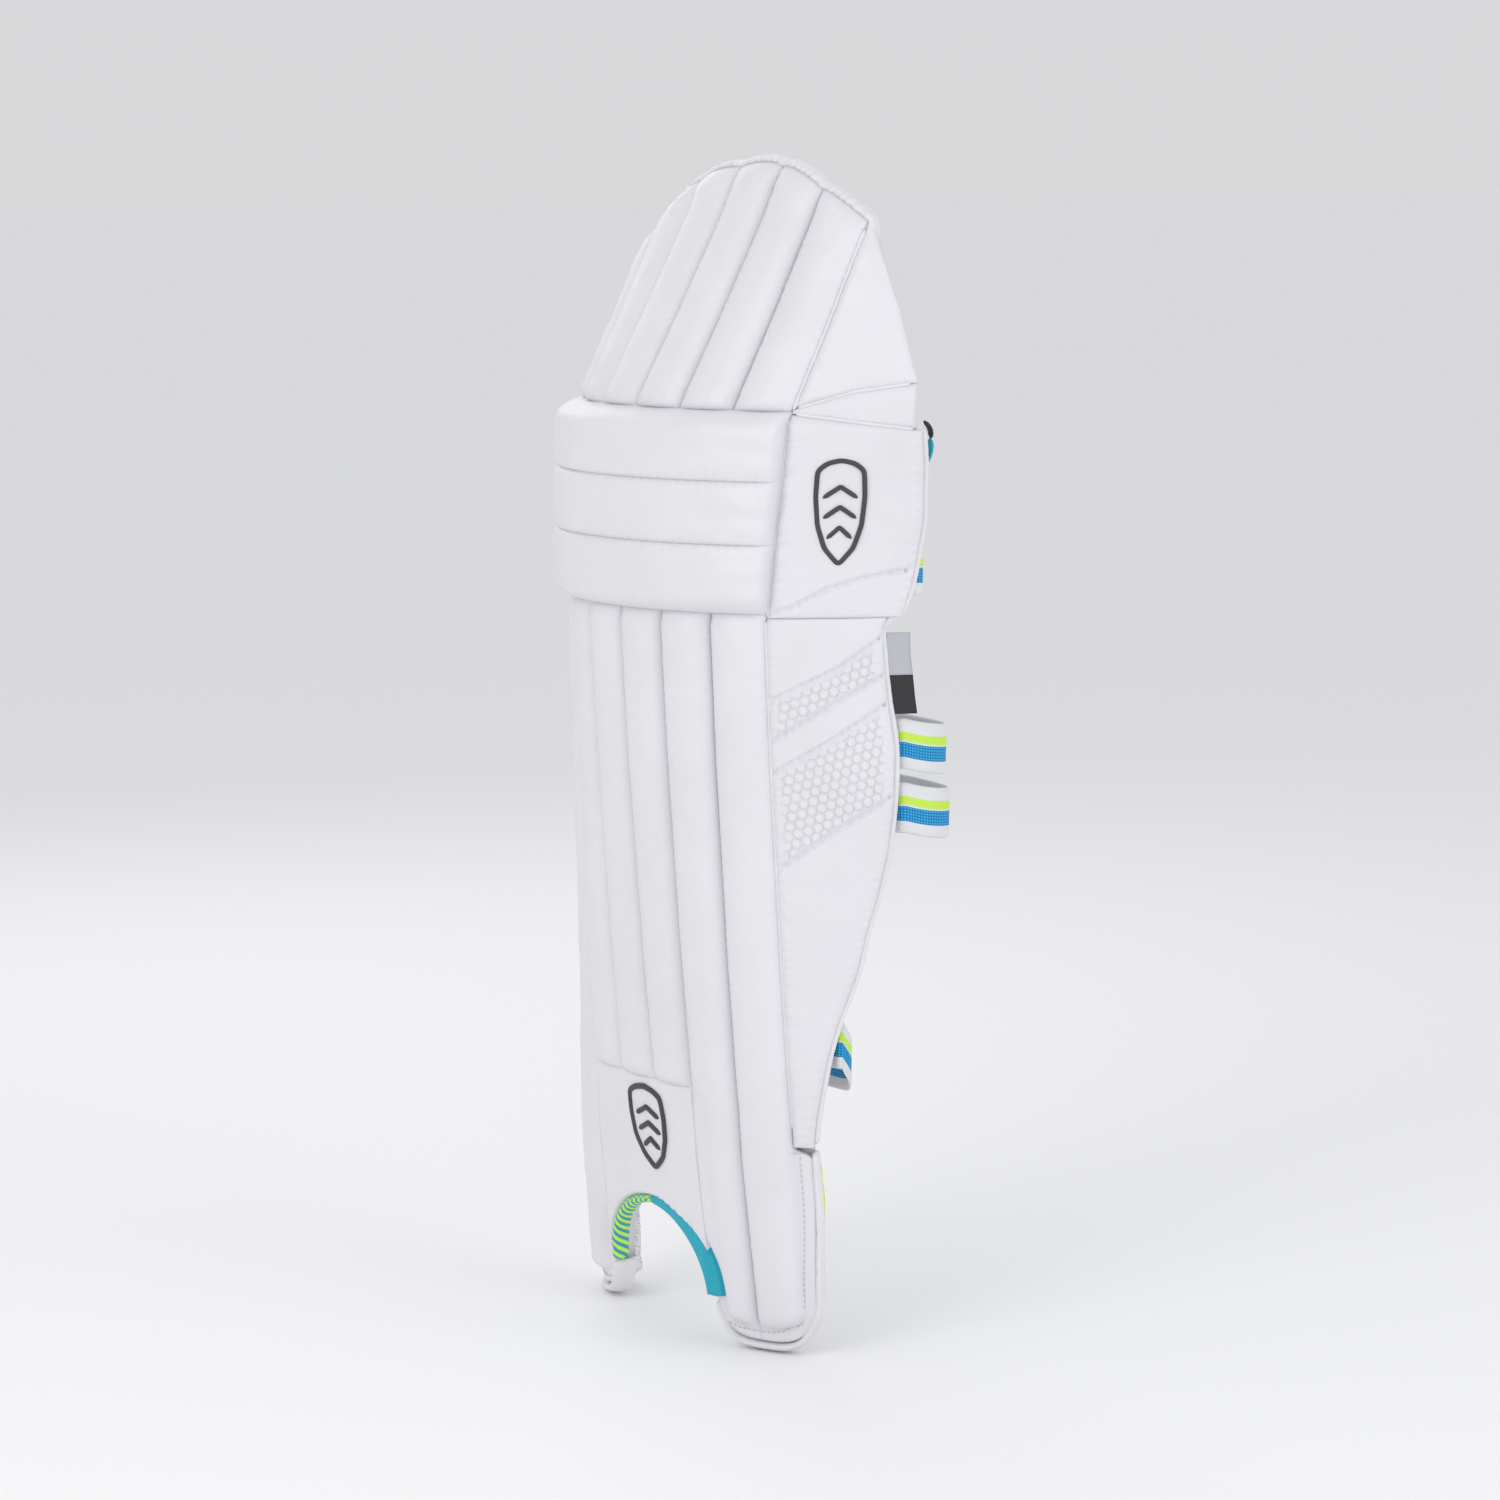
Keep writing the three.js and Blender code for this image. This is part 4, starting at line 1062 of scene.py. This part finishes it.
# ------------------------------------------------------------------ inner flap
s, t = grid(0, 1.9, 150, 545, 2, 2.2)
Z = 150.5 + 394 * t
K = -3.54 + (tab(FLAP_EDGE, Z) + 3.54) * s
arc = (-3.54 - K) * MM_PER_K
wide = (-3.54 - tab(FLAP_EDGE, Z)) * MM_PER_K
D = 1.4 * dome((s - 0.45) * 1.8) - 0.2 + 0.35 * noise(K * 2.4, Z / 26, 91) + 0.25 * noise(K * 6, Z / 11, 92)
for z0 in (232, 314, 396, 478):
    g = Z - z0 - 4 * (s - 0.5)
    D = D - 1.2 * np.exp(-((g / 2.6) ** 2)) + 0.3 * pucker(g, arc, 4, 93)
e = np.minimum(arc, wide - arc)
D = np.minimum(drawn_in(D, -1.4, round_end(e, 6), round_end(Z - 150.5, 6), round_end(544.5 - Z, 6)), 1.1)
inner_d = -FLAP_THICK + 3.2 - 1.4 * dome(2 * s - 1) + 2.5 * (1 - round_end(e, 7))
flap = slab("inner_flap", K, Z, D, inner_d, M_SOFT, flip=True)
on(flap, "shin", "white_leather", "inner_flap", fill=0.5)
pipe = [[float(tab(FLAP_EDGE, z)) - 1.4 / MM_PER_K, z, -3.4] for z in np.linspace(152, 543, 18)]
piping = face_tube("inner_flap_piping", pipe, 2.2, 2.2, M_PIPE, 2.2, ripple=cloth_ripple)
on(piping, "shin", "piping", "inner_flap_piping")

# ------------------------------------------------------------------ badges
# A plain shield outline with three chevron bars.
def badge(name, k_mid, z_mid, wide, high, lift, body):
    """Raised rubber strokes on a thin moulded plate of the cover's own colour."""
    right = ((0, 0.5), (0.25, 0.47), (0.43, 0.40), (0.46, 0.15), (0.42, -0.12), (0.28, -0.34), (0, -0.5))
    outline = np.array([*right, *((-x, y) for x, y in right[-2::-1])]) * [wide, high]
    gone = run_length(outline)
    t = np.linspace(0, gone[-1], 140)
    ring_xy = np.stack([np.interp(t, gone, outline[:, i]) for i in (0, 1)], 1)
    for _ in range(6):
        inner = ring_xy[:-1]
        inner = (np.roll(inner, 1, 0) + inner * 2 + np.roll(inner, -1, 0)) / 4
        ring_xy = np.vstack([inner, inner[:1]])

    def place(x, y):
        """The badge leans by a tenth of its height."""
        return k_mid + (x - 0.10 * y) / w_of(z_mid), z_mid + y

    r = np.linspace(0.02, 1, 14)[:, None]
    x, y = ring_xy[None, :, 0] * r, ring_xy[None, :, 1] * r
    k, z = place(x, y)
    D = lift + 0.9 - 0.5 * smooth(r, 0.9, 1.0) + 0 * x
    n = k.size
    rows, cols = k.shape
    co = np.concatenate([P(k, z, D).reshape(-1, 3), P(k, z, lift - 0.4 + 0 * x).reshape(-1, 3)])
    faces = quads(cols, rows, 0, True) + quads(cols, rows, n, False)
    last = (rows - 1) * cols
    faces += [[last + i, last + i + 1, n + last + i + 1, n + last + i] for i in range(cols - 1)]
    plate = mesh_object(f"{name}_plate", co, faces, M_SOFT)
    on(plate, body, "white_leather")

    def stroke(tag, path, half):
        k, z = place(path[:, 0], path[:, 1])
        line = P(k, z, lift + 1.2)
        return tube(f"{name}_{tag}", line, normal(k, z), 1.15, half, M_RUBBER, section=12)

    rim = stroke("rim", np.vstack([ring_xy, ring_xy[1:7]]) * 0.93, wide * 0.045)
    on(rim, body, "badge_rubber", name)
    step = np.linspace(-1, 1, 24)
    for n_bar, (at, reach) in enumerate(((0.20, 0.30), (0.02, 0.29), (-0.16, 0.22))):
        bar = np.stack([step * reach * wide, (at + 0.03 - 0.10 * np.abs(step)) * high], 1)
        obj = stroke(f"bar_{n_bar}", bar, wide * 0.042)
        on(obj, body, "badge_rubber")


badge("knee_badge", 4.47, 509, 33, 66, 3.1, "outer_wing")
badge("instep_badge", 0.28, 129, 40, 54, 2.4, "shin")

# ------------------------------------------------------------------ label on the edge of the wing
s, t = unit_grid(9, 26)
for part, (z0, z1), mat in (("silver", (412.0, 437.0), M_TAG), ("dark", (389.0, 411.9), M_TAG_DARK)):
    Z = z0 + (z1 - z0) * t
    K = wing_edge(np.minimum(Z, 440.0)) + (-0.6 + 15.5 * s) / MM_PER_K
    D = -2.5 + 0.25 * np.sin(Z / 7) * s + 0.3 * noise(Z / 9, s * 2, 13)
    tag = slab(f"sewn_label_{part}", K, Z, D, D - 1.0, mat)
    on(tag, "outer_wing", "label", *(["sewn_label"] if part == "silver" else []))

# A small black and blue tab behind the upper corner of the wing.
for colour, mat, places in (
    ("black", M_TAG_DARK, ((5.63, 561.5), (5.70, 559.5), (5.77, 556), (5.80, 551))),
    ("blue", M_TEAL, ((5.79, 551.5), (5.83, 546), (5.82, 540), (5.73, 533))),
):
    obj = face_tube(f"wing_tab_{colour}", [[k, z, -8.5] for k, z in places], 4.5, 1.4, mat, 1.5)
    on(obj, "outer_wing", "webbing")

# ------------------------------------------------------------------ straps
LAND = (-4.25, -4.9)
STRAP_WIDE, STRAP_THICK = 30.0, 2.0


def catmull(points, n):
    """n evenly spaced points of a centripetal Catmull-Rom curve through points."""
    p = np.vstack([2 * points[0] - points[1], points, 2 * points[-1] - points[-2]])
    out = []
    for i in range(len(points) - 1):
        p0, p1, p2, p3 = p[i : i + 4]
        t = np.cumsum(
            [0] + [max(1e-9, np.linalg.norm(b - a)) ** 0.5 for a, b in ((p0, p1), (p1, p2), (p2, p3))]
        )
        u = np.linspace(t[1], t[2], 40, endpoint=i == len(points) - 2)[:, None]

        def between(a, b, i, j):
            return (t[j] - u) / (t[j] - t[i]) * a + (u - t[i]) / (t[j] - t[i]) * b

        first, second, third = between(p0, p1, 0, 1), between(p1, p2, 1, 2), between(p2, p3, 2, 3)
        out.append(between(between(first, second, 0, 2), between(second, third, 1, 3), 1, 2))
    curve = np.concatenate(out)
    gone = run_length(curve)
    return points_at(np.linspace(0, gone[-1], n), gone, curve)


def ribbon(name, line, up, wide, thick, mat):
    """A strap along line (mm, row frame) with its width along up."""
    out = unit(np.cross(unit(np.gradient(line, axis=0)), up))
    gone = run_length(line)
    v = np.linspace(-1, 1, 19)
    face = np.sqrt(np.clip(1 - np.abs(v) ** 16, 0, 1)) * 0.92 + 0.08
    bow = 0.45 * noise(gone / 24, 0.5, 21)[:, None] + 0.35 * noise(gone[:, None] / 13, v[None, :] * 1.3, 22)
    middle = line[:, None] + up[:, None] * (v * wide / 2)[None, :, None]
    sides = [middle + out[:, None] * (bow + sgn * face * thick / 2)[..., None] for sgn in (1, -1)]
    n, m = len(line), len(v)
    co = np.concatenate([side.reshape(-1, 3) for side in sides]) / 1000
    count = n * m
    faces = quads(m, n, 0, False) + quads(m, n, count, True)
    for i in range(n - 1):
        for col in (0, m - 1):
            a, b = i * m + col, (i + 1) * m + col
            faces.append([a, b, b + count, a + count] if col == 0 else [b, a, a + count, b + count])
    for row, order in ((0, 1), (n - 1, -1)):
        top = [row * m + i for i in range(m)]
        bottom = [count + i for i in top]
        loop = top[::-1] + bottom if order == 1 else top + bottom[::-1]
        faces.append(loop)
    across = (v[None, :] + 1) / 2 * wide / 1000
    uv = np.stack(np.broadcast_arrays(gone[:, None] / 1000, across), -1).reshape(-1, 2)
    return mesh_object(name, co, faces, mat, np.concatenate([uv, uv]))


def strap(word, z, loop, sag):
    """A strap z high behind the leg; sag is its rise at the wing and loop how far it stands out there."""
    half = STRAP_WIDE / 2
    reach = float(tab(WING_EDGE, np.linspace(z - half, z + sag + half, 7)).max())
    a = float(sample(turn_grid, np.array(reach), np.array(float(z))))
    run = np.array([math.cos(a), math.sin(a), 0])
    at = lambda k, d, zz=z: P(k, zz, d) * 1000
    root = at(reach, -6) + run * (6.8 - {"ankle": 5.5, "knee": 3.5}.get(word, 2.0))
    rear = at(LAND[1], 5.9)
    back = max(root[1] + 1.25 * loop, rear[1] + 22)
    mids = [
        [root[0] + 0.12 * loop, root[1] + 0.45 * loop], [root[0] - 0.12 * loop, root[1] + 0.86 * loop],
        [root[0] - 0.8 * loop, root[1] + 1.12 * loop], [root[0] - 1.9 * loop - 12, back],
        [(root[0] + rear[0]) / 2 - 10, back + 2], [rear[0] + 58, (back + rear[1]) / 2 + 12],
        [rear[0] + 24, rear[1] + 22],
    ]
    if word in ("ankle", "knee"):
        # these two turn in behind the wing at once
        f, start = (1.0, -1.5) if word == "ankle" else (0.85, 1.0)
        mids[:4] = [
            [root[0] + start, root[1] + 5 * f], [root[0] - 7.5 + start, root[1] + 11 * f],
            [root[0] - 24 + start, root[1] + 16 * f], [root[0] - 50 + start, root[1] + 20 * f],
        ]
    through = [root] + [np.array([x, y, z]) for x, y in mids] + [at(-5.3, 6.9)]
    body = catmull(np.array(through), 130)
    land = np.array([at(k, 5.9) for k in np.linspace(-5.15, LAND[0], 22)])
    body = np.concatenate([body, land])
    gone = run_length(body)
    share = gone / gone[-1]
    # the ankle strap rises further than its sag, and sooner
    drop, over = {"ankle": (19, 10)}.get(word, (sag, 24))
    body[:, 2] = z + drop * np.exp(-gone / over)
    # the sewn end, on the inside of the wing
    inside = [at(reach - 0.95, -13.2), at(reach - 0.5, -13.0), at(reach - 0.15, -11.6), root - run * 1.2]
    tail = catmull(np.array(inside), 26)[:-1]
    tail[:, 2] = body[0, 2]
    line = np.concatenate([tail, body])
    share = np.concatenate([np.zeros(len(tail)), share])
    slope = (at(-4.7, 0, z + half) - at(-4.7, 0, z - half)) / STRAP_WIDE
    tilt = np.clip((share - 0.6) / 0.18, 0, 1)[:, None]
    up = np.array([0, 0, 1.0])[None] * (1 - tilt) + slope[None] * tilt
    obj = ribbon(f"{word}_strap", line, up, STRAP_WIDE, STRAP_THICK, M_WEB)
    bend = ("outer_wing", f"{word}_strap", (root / 1000).tolist(), (body[16] / 1000).tolist())
    on(obj, None, "webbing", f"{word}_strap", bend=bend)
    s, t = unit_grid(14, 14)
    K, Z = LAND[0] - 0.02 + (LAND[1] - LAND[0]) * s, z - 12.5 + 25 * t
    patch = slab(f"{word}_hook", K, Z, 4.7, 2.3, M_HOOK, flip=True)
    on(patch, f"{word}_strap", "hook_tape", f"{word}_hook")


for word, z, loop, sag in (
    ("knee", 472, 15, 2), ("calf_upper", 364, 36, 7), ("calf_lower", 326, 38, 7), ("ankle", 174, 14, 10)
):
    strap(word, z, loop, sag)
for word, low, high in (("knee", 458, 486), ("calf", 312, 378), ("ankle", 160, 188)):
    s, t = unit_grid(16, 24)
    K, Z = LAND[0] + (LAND[1] - LAND[0]) * s, low + (high - low) * t
    patch = slab(f"{word}_loop", K, Z, 1.9 + 0.15 * noise(s * 9, t * 9, 31), 0.0 * s, M_HOOK, flip=True)
    on(patch, "shin", "hook_tape", f"{word}_loop")

# ------------------------------------------------------------------ canes
for n in range(1, 8):
    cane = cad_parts[f"cane_{n}"]
    cane.data.materials.clear()
    cane.data.materials.append(M_CANE)

# ------------------------------------------------------------------ stitching
seams = (-2.5, -1.5, -0.5, 0.5, 1.5, 2.5)
rows = [[[k, z, -0.9] for z in np.linspace(166 if abs(k) < 2 else 132, 446, 12)] for k in seams]
rows += [[[k, z, d] for k in np.linspace(-1.45, 1.45, 8)] for z, d in ((157.0, 0.9), (154.0, 1.3))]
lobe_row = []
for k, z in LOBE_RUN[:-3]:
    inset, rise = (0.27, 1.5) if k > 3.7 else (0.15, 9.5 - 5 * (k > 3.5))
    lobe_row.append([taper(k, z) - inset, z + rise])
rows += [[[sgn * k, z, -0.8] for k, z in lobe_row] for sgn in (1, -1)]
rows.append([[k, z - 0.3, -0.6] for k, z, d in arch_line(6, 174, 16, 6.2)])
obj = stitches("shin_stitching", rows, M_THREAD)
on(obj, "shin", "white_leather")
rows = [[[k, z, -0.7] for k in np.linspace(-3.4, 3.4, 14)] for z in KNEE_SEAMS]
obj = stitches("knee_stitching", rows, M_THREAD)
on(obj, "shin", "white_leather")
rows = []
for k in (*seams, 3.5):
    top = float(hat_top(k)) if k < 3.4 else 678
    rows.append([[k, z, -0.9] for z in np.linspace(572, top - 9, 9)])
rows.append([[k, z - 8.5, -0.2] for k, z in hat_edge[2:]])
obj = stitches("hat_stitching", rows, M_THREAD)
on(obj, "top_hat", "white_leather", bend=HAT_BEND)
rows = []
for *seam, (_, rear_z) in SEAMS.values():
    end = [wing_edge(rear_z) - 0.2, rear_z - 1, -0.6]
    rows.append([[k + 0.02, z + 0.2, -0.9] for k, z in seam] + [end])
rows.append([[wing_edge(z) - STITCH_INSET / MM_PER_K, z, 0.6] for z in np.linspace(140, 440, 22)])
obj = stitches("wing_stitching", rows, M_THREAD, long=1.3)
on(obj, None, "white_leather", bend=wing_bend(CALF_LOW, 446))
rows = [[[k, z, 0.9] for k, z in ((3.62, 450.5), (3.85, 452.9), (4.43, 464), (5.02, 470.2), (5.55, 473.6))]]
rows.append([[rear(z) - STITCH_INSET / MM_PER_K, z, 0.6] for z in np.linspace(451, 556, 12)])
obj = stitches("knee_panel_stitching", rows, M_THREAD, long=1.3)
on(obj, None, "white_leather", bend=wing_bend(446, 566))

# ------------------------------------------------------------------ floor, light, camera
floor_mat = material("floor", (0.93, 0.93, 0.93), 0.8)
ground = mesh_object(
    "floor", [[-30, -30, -0.0005], [30, -30, -0.0005], [30, 30, -0.0005], [-30, 30, -0.0005]],
    [[0, 1, 2, 3]], floor_mat, flat=True
)
ground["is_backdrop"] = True


def light(name, at, target, size, power, colour=(1, 1, 1)):
    data = bpy.data.lights.new(name, "AREA")
    data.shape = "RECTANGLE"
    data.size, data.size_y = size
    data.energy, data.color = power, colour
    o = bpy.data.objects.new(name, data)
    bpy.context.scene.collection.objects.link(o)
    o.location = at
    o.rotation_euler = (Vector(target) - Vector(at)).to_track_quat("-Z", "Y").to_euler()
    return o


AZ, EL = math.radians(58), math.radians(7.36)
toward = np.array([math.sin(AZ) * math.cos(EL), -math.cos(AZ) * math.cos(EL), math.sin(EL)])
aside = np.array([math.cos(AZ), math.sin(AZ), 0])
AIM_ASIDE, AIM_HIGH, EYE_AWAY, LENS = 85.8, 360.0, 3015, 120.6
target = aside * AIM_ASIDE + np.array([0, 0, AIM_HIGH]) - np.array([*CENTRE, 0])
eye = target + toward * EYE_AWAY
aim = Vector(target / 1000)


def spot(right, front, high):
    """A place in metres, as the camera sees the object."""
    return tuple(aside * right + toward * np.array([1, 1, 0]) * front + np.array([0, 0, high]))


light("key", spot(-1.1, 1.6, 1.25), (0, 0, 0.35), (1.0, 1.4), 10, (1, 0.99, 0.97))
light("fill", spot(1.6, 1.3, 1.0), (0, 0, 0.35), (1.4, 1.6), 9, (0.97, 0.98, 1))
light("rim", spot(-0.6, -1.6, 1.4), (0, 0, 0.4), (1.2, 1.0), 5)
light("top", (0.0, 0.0, 2.4), (0, 0, 0.3), (1.6, 1.6), 0.4)
world = bpy.data.worlds.new("world")
bpy.context.scene.world = world
world.use_nodes = True
# The sky meets the floor at the floor's own brightness, so no horizon shows.
tree = world.node_tree
height = node(tree, "ShaderNodeSeparateXYZ")
link(tree, node(tree, "ShaderNodeTexCoord").outputs["Generated"], height.inputs[0])
rise = node(tree, "ShaderNodeMapRange")
rise.inputs["From Max"].default_value = 0.25
link(tree, height.outputs["Z"], rise.inputs["Value"])
link(
    tree, mix(tree, rise.outputs["Result"], (0.785, 0.788, 0.80), (0.835, 0.84, 0.86)),
    tree.nodes["Background"].inputs["Color"]
)
world.node_tree.nodes["Background"].inputs["Strength"].default_value = 0.88
cam = bpy.data.cameras.new("camera")
cam.sensor_width, cam.lens = 36, LENS
camera = bpy.data.objects.new("camera", cam)
bpy.context.scene.collection.objects.link(camera)
camera.location = Vector(eye / 1000)
camera.rotation_euler = (aim - camera.location).to_track_quat("-Z", "Y").to_euler()
bpy.context.scene.camera = camera
bpy.context.scene.view_settings.view_transform = "Standard"


def plain(bounds):
    return [[round(float(v), 6) for v in corner] for corner in bounds]


{"cad": plain(cad_bounds), "looks": plain(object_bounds())}
